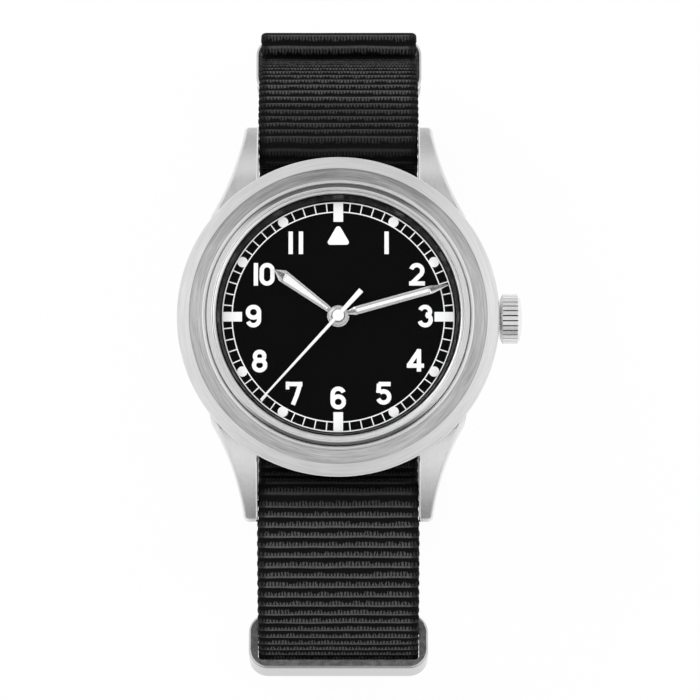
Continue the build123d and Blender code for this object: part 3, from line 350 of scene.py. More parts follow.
def steel(name, light, dark, rough, grain, fineness, depth):
    """Stainless steel between two tones, with fine scratches and worn edges."""
    material, n, shader, place = new_material(name, Metallic=1.0)
    scratches, patches = n.placed(grain, Vector=place, Fineness=fineness)
    smears = n.placed(HANDLING_MARKS, Vector=place, Amount=0.3)["Mask"]
    worn = n.placed(EDGE_WEAR, Vector=place, Amount=0.6)["Mask"]
    streak = n.spread(n.math("ADD", scratches, n.product(patches, 0.5)), 0.5, 1.0)
    n.feed(shader, "Base_Color", n.blend(worn, n.blend(streak, dark, light), light))
    roughness = n.varied(scratches, rough * 0.85, rough * 1.15)
    n.feed(shader, "Roughness", n.math("ADD", roughness, n.product(smears, 0.12)))
    n.feed(shader, "Normal", n.bump(scratches, 0.35, depth))
    return material


def bezel_steel():
    """The bezel's steel: a darker brushed band inside a lighter one."""
    material, n, shader, place = new_material("bezel_steel", Metallic=1.0, Anisotropic=0.5)
    scratches, patches = n.placed(TURNED_GRAIN, Vector=place, Fineness=7500.0, Length=4.0)
    x, y, z = n.axes(place)
    radius = n.length(n.vector(X=x, Y=y))
    outer = n.spread(radius, (BAND_RADIUS - 0.05) * MM, (BAND_RADIUS + 0.03) * MM)
    streak = n.spread(n.math("ADD", scratches, n.product(patches, 0.4)), 0.5, 0.9)
    inner_tone = n.blend(streak, grey(160), grey(212))
    outer_tone = n.blend(streak, grey(214), grey(234))
    n.feed(shader, "Base_Color", n.blend(outer, inner_tone, outer_tone))
    n.feed(shader, "Roughness", n.varied(scratches, 0.3, 0.42))
    n.feed(shader, "Normal", n.bump(scratches, 0.35, 0.006 * MM))
    tangent = n.add("ShaderNodeTangent", {"direction_type": "RADIAL", "axis": "Z"})
    n.feed(shader, "Tangent", tangent.outputs[0])
    return material


def crown_steel():
    """The crown's steel: bright ribs, and painted shade in the grooves, darker the deeper they lie
    under the tips.
    """
    material, n, shader, place = new_material("crown_steel", Metallic=1.0)
    low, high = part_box("crown")
    x, y, z = n.axes(place)
    aside = n.math("SUBTRACT", y, (low[1] + high[1]) / 2)
    above = n.math("SUBTRACT", z, (low[2] + high[2]) / 2)
    reach = n.length(n.vector(X=aside, Y=above))
    # The knurling ends a little before both ends of the crown
    knurled = n.product(n.spread(x, low[0] + 0.26 * MM, low[0] + 0.3 * MM),
                        n.spread(x, high[0] - 0.6 * MM, high[0] - 0.5 * MM, 1.0, 0.0))
    tip = (high[2] - low[2]) / 2
    # Painted shade, darker deeper in the grooves between the ribs
    sunk = n.product(n.spread(reach, tip - 0.15 * MM, tip - 0.015 * MM, 1.0, 0.0), knurled)
    fine = n.noise(place, 5000.0)
    ribs = n.blend(n.varied(fine), grey(238), grey(248))
    n.feed(shader, "Base_Color", n.blend(sunk, ribs, grey(96)))
    n.feed(shader, "Roughness", n.varied(fine, 0.42, 0.5))
    n.feed(shader, "Normal", n.bump(fine, 0.2, 0.002 * MM))
    return material


def plain(name, colour, rough, speck=0.15, size=900.0, depth=0.01, **even):
    """A moulded, painted or plated finish with a fine uneven surface, depth in mm."""
    material, n, shader, place = new_material(name, **even)
    fine = n.noise(place, size * 4)
    smears = n.placed(HANDLING_MARKS, Vector=place, Size=size, Amount=0.4)["Mask"]
    darker = tuple(c * (1 - speck) for c in colour[:3]) + (1.0,)
    n.feed(shader, "Base_Color", n.blend(n.varied(fine), darker, colour))
    n.feed(shader, "Roughness", n.spread(smears, 0.0, 1.0, rough, min(1.0, rough + 0.2)))
    n.feed(shader, "Normal", n.bump(fine, 0.2, depth * MM))
    return material


def metal(name, colour, rough, **finish):
    """A plain finish of bare metal."""
    return plain(name, colour, rough, Metallic=1.0, **finish)


def clear_seal():
    """The nylon seal under the crystal's bevel: pale, with a painted dark reflection on its outer rim
    at both ends.
    """
    material, n, shader, place = new_material("seal_clear_nylon")
    x, y, z = n.axes(place)
    # Painted dark reflection: the outer rim darker at both ends
    ends = n.spread(n.size(y), 9.0 * MM, 12.5 * MM)
    outside = n.spread(n.length(n.vector(X=x, Y=y)), 14.15 * MM, 14.28 * MM)
    n.feed(shader, "Base_Color", n.blend(n.product(outside, ends), grey(192), grey(84)))
    n.feed(shader, "Roughness", n.varied(n.noise(place, 3000.0), 0.4, 0.5))
    return material


def clear_crystal():
    """Clear glass that lets the lamps' rays through to the dial."""
    material, n, shader, place = new_material(
        "clear_crystal", Transmission_Weight=1.0, IOR=1.45, Specular_IOR_Level=0.06)
    smears = n.placed(HANDLING_MARKS, Vector=place, Size=120.0, Amount=0.5)["Mask"]
    n.feed(shader, "Roughness", n.spread(smears, 0.0, 1.0, 0.0, 0.015))
    n.feed(shader, "Base_Color", n.blend(smears, WHITE, (0.985, 0.99, 0.99, 1.0)))
    path = n.add("ShaderNodeLightPath").outputs
    passing = n.math("MAXIMUM", path["Is Shadow Ray"], path["Is Diffuse Ray"])
    glass = n.mixed(passing, shader, n.add("ShaderNodeBsdfTransparent"))
    n.feed(n.tree.nodes["Material Output"], "Surface", glass.outputs[0])
    return material


def webbing():
    """Black nylon with painted highlights along its ribs. The attribute weave gives mm across the strap
    and, along it, from the head out.
    """
    material, n, shader, place = new_material("webbing", Specular_IOR_Level=0.06)
    weave = n.add("ShaderNodeAttribute", {"attribute_name": "weave"}).outputs["Vector"]
    across, along, height = n.axes(weave)
    rib = n.math("DIVIDE", along, RIB_PITCH)
    phase = n.math("FRACT", rib)
    fibres = n.noise(n.vector_math("MULTIPLY", weave, (9.0, 7.0, 1.0)), 1.0, 3.0, 0.6)
    wander = n.product(n.noise(weave, 1.7, 2.0), 0.9)
    half_step = n.product(n.math("FLOOR", rib), 0.5)
    count = n.math("ADD", n.math("ADD", n.math("DIVIDE", across, YARN_PITCH), wander), half_step)
    yarn = n.size(n.math("SINE", n.product(count, math.pi)))
    cell = n.vector(X=n.math("FLOOR", n.math("ADD", count, 0.5)), Y=n.math("FLOOR", rib))
    chance = n.add("ShaderNodeTexWhiteNoise", {"noise_dimensions": "3D"}, Vector=cell).outputs[0]
    # Painted highlights: each yarn shows as a light tooth that reaches from the rib's painted light
    # line into its slope
    reach = n.spread(chance, 0.0, 1.0, 0.12, 0.34)
    teeth = n.product(n.spread(n.math("SUBTRACT", phase, reach), 0.0, 0.1), n.spread(yarn, 0.4, 0.8),
                      n.spread(phase, 0.66, 0.74, 0.85, 0.0))
    line = n.product(n.spread(phase, 0.56, 0.64), n.spread(phase, 0.76, 0.84, 1.0, 0.0))
    broken = n.product(line, n.spread(fibres, 0.3, 0.65, 0.4, 0.9))
    light = n.math("MAXIMUM", broken, n.product(teeth, n.spread(fibres, 0.25, 0.7, 0.3, 0.85)))
    # The painted highlights fade towards the selvedge
    selvedge = n.spread(n.size(across), 8.0, 8.35, 1.0, 0.3)
    # The painted highlights are fainter at twelve, but not by the fold, and painted shade dims them
    # over the spring bars next to the head
    y = n.axes(place)[1]
    by_fold = n.product(n.spread(y, 23.5 * MM, 26.5 * MM), n.spread(y, 31.2 * MM, 32.2 * MM, 1.0, 0.65))
    painted_dimming_at_twelve = n.math("MAXIMUM", n.spread(y, -5.0 * MM, 5.0 * MM, 1.0, 0.55), by_fold)
    painted_head_shade = n.spread(n.size(y), 19.5 * MM, 22.5 * MM, 0.35, 1.0)
    painted_highlight = n.product(light, selvedge, n.product(painted_dimming_at_twelve, painted_head_shade))
    # Painted highlight over the black base colour
    n.feed(shader, "Base_Color", n.blend(painted_highlight, grey(13), grey(98)))
    n.feed(shader, "Roughness", n.varied(fibres, 0.6, 0.8))
    n.feed(shader, "Normal", n.bump(n.math("ADD", yarn, n.product(fibres, 0.35)), 0.8, 0.08 * MM))
    return material


CASE_STEEL = steel("case_steel", light=grey(238), dark=grey(222), rough=0.34,
                   grain=STRAIGHT_GRAIN, fineness=5200.0, depth=0.006 * MM)
BRIGHT_STEEL = steel("bright_steel", light=grey(236), dark=grey(222), rough=0.12,
                     grain=TURNED_GRAIN, fineness=9000.0, depth=0.001 * MM)
BEZEL_STEEL = bezel_steel()
CROWN_STEEL = crown_steel()
CLEAR_SEAL = clear_seal()
RING_STEEL = metal("ring_steel", grey(202), 0.12, speck=0.06, size=1500.0, depth=0.001)
LIP_STEEL = metal("lip_steel", grey(240), 0.3, speck=0.03, size=1500.0, depth=0.001)
HAND_STEEL = metal("hand_steel", grey(220), 0.2, speck=0.03, size=2500.0, depth=0.001)
CRYSTAL_GLASS = clear_crystal()
WEBBING = webbing()
THREAD = plain("stitching_thread", grey(34), 0.6, speck=0.2, size=3000.0, Specular_IOR_Level=0.2)
DIAL_PAINT = plain("dial_paint", grey(7), 0.7, size=2500.0, depth=0.0, Specular_IOR_Level=0.0)
RING_PAINT = plain("ring_paint", grey(10), 0.3, speck=0.2, size=2500.0, depth=0.002,
                   Specular_IOR_Level=0.1)
PRINT_WHITE = plain("print_white", grey(249), 0.6, speck=0.02, size=4000.0, depth=0.002)
LUME = plain("lume", grey(250), 0.7, speck=0.03, size=6000.0)
HAND_LUME = plain("hand_lume", grey(236), 0.7, speck=0.04, size=6000.0)
HAND_WHITE = plain("hand_white_paint", grey(240), 0.45, speck=0.02, size=4000.0, depth=0.001)

FINISH_OF_SLOT = {
    "brushed_steel": CASE_STEEL,
    "polished_steel": BRIGHT_STEEL,
    "crystal_glass": CRYSTAL_GLASS,
    "black_rubber": plain("seal_rubber", grey(34), 0.7, speck=0.3),
    "black_ring": RING_PAINT,
    "dial_black": DIAL_PAINT,
    "hand_steel": HAND_STEEL,
    "hand_white": HAND_WHITE,
    "movement_plastic": plain("movement_plastic_white", grey(206, 0.02), 0.5, speck=0.06),
    "nickel_plate": metal("nickel_plate_satin", grey(205, 0.02), 0.28, speck=0.1),
    "wheel_brass": metal("wheel_brass_gilt", (0.62, 0.42, 0.14, 1.0), 0.28, speck=0.12),
    "magnet": metal("magnet_dark", grey(70), 0.35),
    "soft_iron": metal("soft_iron_grey", grey(150), 0.4),
    "copper_winding": metal("copper_wire", (0.62, 0.2, 0.07, 1.0), 0.3, speck=0.25, size=3000.0),
    "circuit_green": plain("board_lacquer", (0.01, 0.11, 0.04, 1.0), 0.35, speck=0.3, Coat_Weight=0.4),
    "cell_steel": metal("cell_nickel", grey(214), 0.22, speck=0.08),
    "webbing_black": WEBBING,
}
FINISH_OF_NODE = {
    "bezel": BEZEL_STEEL,
    "crown": CROWN_STEEL,
    "crystal_gasket": CLEAR_SEAL,
    "keeper_ring_1": RING_STEEL,
    "keeper_ring_2": RING_STEEL,
    "keeper_ring_3": RING_STEEL,
    "buckle_frame": RING_STEEL,
}
for name, node in nodes.items():
    node.data.materials.clear()
    node.data.materials.append(FINISH_OF_NODE.get(name, FINISH_OF_SLOT[slot_of[name]]))


# The strap's path: corners (y, z) in mm with the radius of each bend, as the plain strap has them

STRAP_WIDTH = 18.0
STRAP_THICKNESS = 1.2
LAYER = 1.45  # from the middle of one layer of webbing to the next
LOWEST, SECOND, THIRD, FOURTH = (0.6 + LAYER * k for k in range(4))  # heights of the layers
UNDER_CASE = 42.8  # height of the run under the case
BAR_REACH = 18.4  # the run over each spring bar turns down this far out
REACH_12, REACH_6 = 32.6, 37.15  # how far the strap reaches at twelve and at six
TAIL_REACH, FOLD_REACH, END_REACH = 34.05, 36.55, 35.625  # the tail outside it, its fold and its end
FOLD_TOP = 27.85  # height of the tail's fold
FOLD_BEND, LOOP_BEND, WRAP_BEND, TANG_BEND = 1.2, 1.39, 1.5, 4.0
OVER_BUCKLE = 4.23  # height of the run over the buckle's far bar
MAIN_CORNERS = [
    ((3.5, FOURTH), 0), ((-3.95, FOURTH), LOOP_BEND), ((-3.95, SECOND), LOOP_BEND),
    ((REACH_12, SECOND), 8.0), ((REACH_12, 36.4), 18.5), ((BAR_REACH, 48.32), WRAP_BEND),
    ((BAR_REACH, UNDER_CASE), 2.0), ((-BAR_REACH, UNDER_CASE), 2.0),
    ((-BAR_REACH, 47.34), WRAP_BEND), ((-REACH_6, 39.65), 16.0), ((-REACH_6, 21.5), 30.0),
    ((-29.15, LOWEST), 8.5), ((-22.0, LOWEST), TANG_BEND), ((-16.3, OVER_BUCKLE), TANG_BEND),
    ((-13.9, OVER_BUCKLE), TANG_BEND), ((-5.4, LOWEST), TANG_BEND), ((TAIL_REACH, LOWEST), 9.45),
    ((TAIL_REACH, FOLD_TOP), FOLD_BEND), ((FOLD_REACH, FOLD_TOP), FOLD_BEND),
    ((FOLD_REACH, 25.2), 2.2), ((END_REACH, 23.8), 2.2), ((END_REACH, 10.5), 0),
]
UNDER_CORNERS = [
    ((-0.5, THIRD), 0), ((28.6, THIRD), 5.5), ((28.6, UNDER_CASE - LAYER), 8.0),
    ((-27.9, UNDER_CASE - LAYER), 5.97), ((-30.88, 33.38), 6.0), ((-32.09, 28.85), FOLD_BEND),
    ((-34.51, 29.49), FOLD_BEND), ((-33.29, 34.03), FOLD_BEND), ((-31.73, 35.79), FOLD_BEND),
    ((-30.57, 40.14), 0),
]


def rounded_path(corners, step=0.12):
    """Points along straight runs joined by arcs of the corners' radii, at an even step in the arcs."""
    path = [Vector(corners[0][0])]
    for index in range(1, len(corners) - 1):
        before, here, after = (Vector(corners[index + k][0]) for k in (-1, 0, 1))
        radius = corners[index][1]
        back, ahead = (before - here).normalized(), (after - here).normalized()
        half = back.angle(ahead) / 2
        tangent = radius / math.tan(half)
        centre = here + (back + ahead).normalized() * (radius / math.sin(half))
        first, last = here + back * tangent - centre, here + ahead * tangent - centre
        turn = first.angle_signed(last)
        pieces = max(4, int(abs(turn) * radius / step))
        for k in range(pieces + 1):
            path.append(centre + Matrix.Rotation(-turn * k / pieces, 2) @ first)
    path.append(Vector(corners[-1][0]))
    return path


UNDER_HEAD = 30.0  # above this height the strap passes under the head


def length_to_head(path):
    """How far along a path the head's middle lies over it, in mm."""
    length = 0.0
    for here, after in zip(path, path[1:]):
        if here.x > 0.0 >= after.x and here.y > UNDER_HEAD:
            return length + here.x
        length += (after - here).length
    return length


# Webbing, woven along the path with Geometry Nodes

RIB_DEPTH = 0.26
EDGE_RADIUS = 0.5  # of the webbing's rounded edges
STEPS_PER_RIB = 9
ACROSS_STEPS = 9


class Tree(Nodes):
    """A Geometry Nodes tree with named inputs, run once on an object."""

    def __init__(self, name, inputs):
        tree = bpy.data.node_groups.new(name, "GeometryNodeTree")
        kinds = {"Geometry": "Geometry", **inputs, "Material": "Material"}
        for label, kind in kinds.items():
            tree.interface.new_socket(label, in_out="INPUT", socket_type="NodeSocket" + kind)
        tree.interface.new_socket("Geometry", in_out="OUTPUT", socket_type="NodeSocketGeometry")
        super().__init__(tree)
        self.given = self.add("NodeGroupInput").outputs
        self.out = self.add("NodeGroupOutput")

    def finish(self, geometry):
        """Ends the tree as the export needs it: real geometry with the given material."""
        real = self.add("GeometryNodeRealizeInstances", i0=geometry).outputs[0]
        covered = self.add("GeometryNodeSetMaterial", i0=real, Material=self.given["Material"])
        self.feed(self.out, "i0", covered.outputs[0])

    def run(self, holder, values):
        """The mesh that the tree makes on holder, with its inputs set by identifier."""
        modifier = holder.modifiers.new("maker", "NODES")
        modifier.node_group = self.tree
        for item in self.tree.interface.items_tree:
            if item.in_out == "INPUT" and item.name in values:
                modifier[item.identifier] = values[item.name]
        return evaluated(holder, modifier)


def make_weaver():
    """Sweeps the band's outline along a curve, and cuts the grooves between its ribs."""
    n = Tree("ribbed_webbing", {"Outline": "Object", "Rib Pitch": "Float", "Rib Depth": "Float",
                                "Step": "Float", "Head At": "Float"})
    even = n.add("GeometryNodeResampleCurve", {"mode": "LENGTH"}, Curve=n.given["Geometry"],
                 Length=n.given["Step"])
    path = n.add("GeometryNodeCaptureAttribute", {"domain": "POINT"}, i0=even.outputs[0])
    path.capture_items.new("FLOAT", "Along")
    n.feed(path, "i1", n.add("GeometryNodeSplineParameter").outputs["Length"])
    outline = n.add("GeometryNodeObjectInfo", Object=n.given["Outline"]).outputs["Geometry"]
    edge = n.add("GeometryNodeCaptureAttribute", {"domain": "POINT"}, i0=outline)
    edge.capture_items.new("VECTOR", "Across")
    n.feed(edge, "i1", n.add("GeometryNodeInputPosition").outputs[0])
    swept = n.add("GeometryNodeCurveToMesh", Curve=path.outputs[0], Profile_Curve=edge.outputs[0],
                  Fill_Caps=True)
    along = path.outputs[1]
    across, thick, end = n.axes(edge.outputs[1])
    # Ribs, counted from the head out, which drift a little across the band
    sway = n.noise(n.vector(X=n.product(across, 220.0), Y=n.product(along, 500.0)), 1.0, 2.0)
    drift = n.product(n.math("SUBTRACT", sway, 0.5), 0.24)
    outward = n.size(n.math("SUBTRACT", along, n.given["Head At"]))
    rib = n.math("ADD", n.math("DIVIDE", outward, n.given["Rib Pitch"]), drift)
    arch = n.size(n.math("SINE", n.product(rib, math.pi)))
    hollow = n.math("SUBTRACT", n.math("POWER", arch, 0.55), 1.0)
    shallow = n.spread(n.size(across), 8.6 * MM, 9.0 * MM, 1.0, 0.6)
    depth = n.product(hollow, n.product(n.given["Rib Depth"], shallow))
    inward = n.scaled(n.add("GeometryNodeInputNormal").outputs[0], depth)
    # The selvedge swells at each rib where the strap is clear of the lugs
    x, y, z = n.axes(n.add("GeometryNodeInputPosition").outputs[0])
    free = n.spread(n.size(y), 21.8 * MM, 23.2 * MM)
    at_edge = n.spread(n.size(across), 8.3 * MM, 8.9 * MM)
    swell = n.product(n.math("ADD", n.product(arch, 0.06 * MM), 0.05 * MM), free, at_edge)
    bulge = n.vector(X=n.product(n.math("SIGN", x), swell))
    ribbed = n.add("GeometryNodeSetPosition", i0=swept.outputs[0],
                   Offset=n.vector_math("ADD", inward, bulge))
    weave = n.vector(X=n.math("DIVIDE", across, MM), Y=n.product(rib, RIB_PITCH),
                     Z=n.math("DIVIDE", thick, MM))
    kept = n.add("GeometryNodeStoreNamedAttribute", {"data_type": "FLOAT_VECTOR", "domain": "POINT"},
                 i0=ribbed.outputs[0], Name="weave", Value=weave)
    n.finish(n.add("GeometryNodeSetShadeSmooth", i0=kept.outputs[0]).outputs[0])
    return n


WEAVER = make_weaver()


def poly_curve(name, points, closed=False):
    """A plain curve object through points in millimetres."""
    curve = bpy.data.curves.new(name, "CURVE")
    curve.dimensions = "3D"
    spline = curve.splines.new("POLY")
    spline.points.add(len(points) - 1)
    for place, (x, y, z) in zip(spline.points, points):
        place.co = (x * MM, y * MM, z * MM, 1.0)
    spline.use_cyclic_u = closed
    return linked(name, curve)


def band_outline():
    """The webbing's flat outline: long sides in steps, edges rounded."""
    half_width, half_thickness = STRAP_WIDTH / 2 - EDGE_RADIUS, STRAP_THICKNESS / 2 - EDGE_RADIUS
    outline = []
    for quarter, (side_x, side_y) in enumerate(((1, 1), (-1, 1), (-1, -1), (1, -1))):
        corner = (side_x * half_width, side_y * half_thickness)
        start = 90 * quarter
        outline += arc(corner, EDGE_RADIUS, EDGE_RADIUS, start, start + 90, 4)
        if quarter in (0, 2):
            outline += [(side_x * half_width * (1 - 2 * k / ACROSS_STEPS),
                         side_y * STRAP_THICKNESS / 2) for k in range(1, ACROSS_STEPS)]
    return [(x, y, 0.0) for x, y in outline]


# Holes and slots of the long strap, at places (y, z) on its path

HOLE_RADIUS = 1.0
HOLES = [(-20.96, 1.32), (-15.22, 4.2), (-2.917, 0.6), (3.583, 0.6), (10.083, 0.6), (16.583, 0.6)]
TANG_SLOT = (-9.115, 2.19)
TANG_SLOT_LENGTH = 5.2
CUT_HALF = 0.725  # how far a cut reaches to each side of the strap's middle
PIVOT_SLOT = ((-1.1, 1.1), (-5.0, -0.97), (1.325, 5.7))  # from and to in x, y and z


def through_cut(path, place, length=2 * HOLE_RADIUS):
    """A round-ended prism, square to the strap at a place on its path."""
    here = Vector(place)
    near = min(range(1, len(path) - 1), key=lambda k: (path[k] - here).length)
    way = (path[near + 1] - path[near - 1]).normalized()
    straight = length / 2 - HOLE_RADIUS
    outline = circle(HOLE_RADIUS, 24)
    if straight > 0:
        outline = arc((0, straight), HOLE_RADIUS, HOLE_RADIUS, 0, 180, 12)
        outline += arc((0, -straight), HOLE_RADIUS, HOLE_RADIUS, 180, 360, 12)
    return lofted([[(x, here.x + y * way.x - side * way.y, here.y + y * way.y + side * way.x)
                    for x, y in outline] for side in (-CUT_HALF, CUT_HALF)])


def pierced(mesh, path):
    """The long strap's mesh with its holes, the tang's slot and the slot round the pivot."""
    (left, right), (back, front), (low, high) = PIVOT_SLOT
    pivot_slot = plate([(left, back), (right, back), (right, front), (left, front)], low, high)
    cuts = [through_cut(path, place) for place in HOLES]
    cuts += [through_cut(path, TANG_SLOT, TANG_SLOT_LENGTH), pivot_slot]
    cutter, whole = linked("cuts", mesh_of("cuts", joined(*cuts), WEBBING)), linked("whole", mesh)
    modifier = whole.modifiers.new("cut", "BOOLEAN")
    modifier.operation, modifier.solver, modifier.object = "DIFFERENCE", "MANIFOLD", cutter
    opened = evaluated(whole, modifier)
    discard(cutter, whole)
    return opened


def woven(name, corners, with_holes=False):
    """A strap of webbing along a path's corners."""
    path = rounded_path(corners)
    holder = poly_curve(name + "_path", [(0.0, p.x, p.y) for p in path])
    outline = poly_curve(name + "_outline", band_outline(), True)
    mesh = WEAVER.run(holder, {
        "Outline": outline, "Rib Pitch": RIB_PITCH * MM, "Rib Depth": RIB_DEPTH * MM,
        "Step": RIB_PITCH * MM / STEPS_PER_RIB, "Head At": length_to_head(path) * MM,
        "Material": WEBBING,
    })
    discard(holder, outline)
    return dressed(name, pierced(mesh, path) if with_holes else mesh, HEAD)


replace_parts(woven("ribbed_main_strap", MAIN_CORNERS, True), "main_strap")
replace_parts(woven("ribbed_under_strap", UNDER_CORNERS), "under_strap")


# Stitches of the hem, in rows set with Geometry Nodes

STITCH_LENGTH = 0.8
STITCH_RADIUS = 0.1
HEM_MIDDLE = (0.0, 1.6, 5.5)  # middle of the stitched hem, in mm


def stitch():
    """One stitch along X: a short rod with pointed, sunk ends."""
    ends = [[(STITCH_LENGTH * share, x, z) for x, z in circle(STITCH_RADIUS, 6)]
            for share in (-0.3, 0.3)]
    points, faces = lofted(ends)
    points += [(-STITCH_LENGTH / 2, 0, -STITCH_RADIUS), (STITCH_LENGTH / 2, 0, -STITCH_RADIUS)]
    faces = faces[:6]
    faces += [[12, (k + 1) % 6, k] for k in range(6)]
    faces += [[13, 6 + k, 6 + (k + 1) % 6] for k in range(6)]
    return points, faces


def make_stitcher():
    """Sets copies of one stitch in even rows across a flat run of the strap."""
    n = Tree("stitch_rows", {"Across": "Float", "Along": "Float", "Columns": "Int", "Rows": "Int",
                             "Place": "Vector"})
    rows = n.add("GeometryNodeMeshGrid", Size_X=n.given["Across"], Size_Y=n.given["Along"],
                 Vertices_X=n.given["Columns"], Vertices_Y=n.given["Rows"])
    copies = n.add("GeometryNodeInstanceOnPoints", Points=rows.outputs[0],
                   Instance=n.given["Geometry"])
    n.finish(n.add("GeometryNodeTransform", i0=copies.outputs[0],
                   Translation=n.given["Place"]).outputs[0])
    return n


single = linked("stitch", mesh_of("stitch", stitch(), THREAD))
hem = make_stitcher().run(single, {
    "Across": 15.4 * MM, "Along": 2.3 * MM, "Columns": 15, "Rows": 3,
    "Place": tuple(c * MM for c in HEM_MIDDLE), "Material": THREAD,
})
discard(single)
dressed("hem_stitches", hem, HEAD)


# Dial print, raised a little over the dial

PRINT_RAISE = 0.02  # thickness of the print, in mm
LUME_RAISE = 0.08  # thickness of the luminous paint
STROKE_LIFT = 0.002  # how far each stroke of a figure stands above the one before
TRACK_INNER, TRACK_OUTER = 11.8, 12.87  # radii of the minute track's rings
TRACK_LINE = 0.13  # width of its lines
MINUTES = 60
DOT_PLACE, DOT_RADIUS = 12.3, 0.575  # the luminous dots' distance out and size
BAR_INNER, BAR_WIDTH = 10.7, 1.07  # where the luminous bars begin, and their width
TRIANGLE = [((0.0, 9.86), 0.32, 150), ((0.9, 8.38), 0.28, 30), ((-0.9, 8.38), 0.28, -90)]

FIGURE_HEIGHT = 2.55
FIGURE_STROKE = 0.48
END = FIGURE_HEIGHT / 2  # from the middle of a figure to the end of an upright
TOP = END - FIGURE_STROKE / 2  # to the middle of its top stroke
BOWL = 0.62  # half width of a round figure's line
FIGURES = {  # the lines of each figure, round its middle
    "1": [[(0, -END), (0, END)]],
    "2": [arc((0, TOP - BOWL), BOWL, BOWL, 165, -10)
          + [(0.5, 0.02), (-0.45, -TOP + 0.12), (-BOWL, -TOP)], [(-0.86, -TOP), (0.9, -TOP)]],
    "3": [arc((-0.02, TOP - 0.54), 0.56, 0.54, 160, -80), arc((0, -TOP + BOWL), BOWL, BOWL, 85, -165)],
    "4": [[(0.36, -END), (0.36, TOP + 0.2)], [(0.42, TOP + 0.12), (-0.72, -TOP + 0.52)],
          [(-0.98, -TOP + 0.42), (0.92, -TOP + 0.42)]],
    "5": [[(0.78, TOP), (-0.56, TOP)], [(-0.5, TOP + 0.05), (-0.58, 0.05)],
          arc((0, -TOP + 0.63), 0.63, 0.63, 130, -160)],
    "6": [arc((0, -TOP + 0.6), BOWL, 0.6, 0, 360, 28), [(-BOWL, -TOP + 0.6), (-BOWL, TOP - BOWL)],
          arc((0, TOP - BOWL), BOWL, BOWL, 180, 20)],
    "7": [[(-0.89, TOP), (0.95, TOP)], [(-0.69, TOP + 0.27), (-0.69, TOP - 0.59)],
          [(0.72, TOP), (0.3, -0.3), (-0.1, -END)]],
    "8": [arc((0, TOP - 0.5), 0.52, 0.5, 0, 360, 28), arc((0, -TOP + 0.58), BOWL, 0.58, 0, 360, 28)],
    "9": [arc((0, TOP - 0.6), BOWL, 0.6, 0, 360, 28), [(BOWL, TOP - 0.6), (BOWL, -TOP + BOWL)],
          arc((0, -TOP + BOWL), BOWL, BOWL, 0, -160)],
    "0": [arc((0, TOP - 0.6), 0.6, 0.6, 0, 180) + arc((0, -TOP + 0.6), 0.6, 0.6, 180, 360)
          + [(0.6, TOP - 0.6)]],
}
THIN_STROKES = {("7", 1): 0.4}  # width of the drop at the left of the seven
FIGURE_PLACES = [
    ("1", 5.38, 8.33), ("2", 8.74, 4.78), ("3", 9.66, 0.08), ("4", 8.6, -4.87),
    ("5", 5.03, -8.58), ("6", 0.0, -9.1), ("7", -4.93, -8.58), ("8", -8.73, -4.97),
    ("9", -9.43, 0.08), ("1", -9.17, 4.78), ("0", -7.92, 4.78), ("1", -5.3, 8.33),
    ("1", -4.16, 8.33),
]


def stroke(path, width, low, high):
    """A flat line along a path of (x, y), with flat ends and mitred corners."""
    points = [Vector(p) for p in path]
    sections = []
    for index, point in enumerate(points):
        ways = []
        if index:
            ways.append((point - points[index - 1]).normalized())
        if index < len(points) - 1:
            ways.append((points[index + 1] - point).normalized())
        way = sum(ways, Vector((0.0, 0.0))).normalized()
        side = Vector((-way.y, way.x)) * (width / 2 / max(0.35, way.dot(ways[0])))
        left, right = point + side, point - side
        sections.append([(*left, high), (*right, high), (*right, low), (*left, low)])
    return lofted(sections)


def polar(radius, angle):
    """A place on the dial at a radius, at an angle clockwise from twelve, in degrees."""
    turn = math.radians(90 - angle)
    return Vector((radius * math.cos(turn), radius * math.sin(turn)))


def block(inner, outer, width, minute):
    """The corners of a bar that points at the middle of the dial."""
    way = polar(1.0, 6 * minute)
    side = Vector((-way.y, way.x)) * width / 2
    return [way * inner - side, way * outer - side, way * outer + side, way * inner + side]


def dial_print():
    """Minute track and figures."""
    low, high = DIAL_TOP, DIAL_TOP + PRINT_RAISE
    inks = []
    for radius in (TRACK_OUTER, TRACK_INNER):
        inner, outer = radius - TRACK_LINE / 2, radius + TRACK_LINE / 2
        inks.append(turned([(inner, low), (outer, low), (outer, high), (inner, high)], 240))
    inset = 0.06  # the marks between the rings end inside their lines
    for minute in range(MINUTES):
        if minute % 5:
            mark = block(TRACK_INNER + inset, TRACK_OUTER - inset, TRACK_LINE, minute)
            inks.append(plate(mark, low, high))
    for figure, x, y in FIGURE_PLACES:
        for number, line in enumerate(FIGURES[figure]):
            width = THIN_STROKES.get((figure, number), FIGURE_STROKE)
            placed = [(x + p[0], y + p[1]) for p in line]
            inks.append(stroke(placed, width, low, high + number * STROKE_LIFT))
    mesh_piece("dial_print", joined(*inks), PRINT_WHITE, HEAD)


def dial_lume():
    """Bars at the quarters, dots at the other hours and the triangle under twelve."""
    outlines = []
    for minute in range(0, MINUTES, 5):
        if minute % 15:
            middle = polar(DOT_PLACE, 6 * minute)
            outlines.append([(middle.x + x, middle.y + y) for x, y in circle(DOT_RADIUS, 36)])
        else:
            outlines.append(block(BAR_INNER, TRACK_OUTER, BAR_WIDTH, minute))
    corners = [arc(middle, r, r, start, start - 120, 6) for middle, r, start in TRIANGLE]
    outlines.append([p for corner in corners for p in corner][::-1])
    paint = joined(*(plate(outline, DIAL_TOP, DIAL_TOP + LUME_RAISE) for outline in outlines))
    mesh_piece("dial_lume", paint, LUME, HEAD)


dial_print()
dial_lume()


# Hands: bevelled frames round their paint, and the white seconds hand

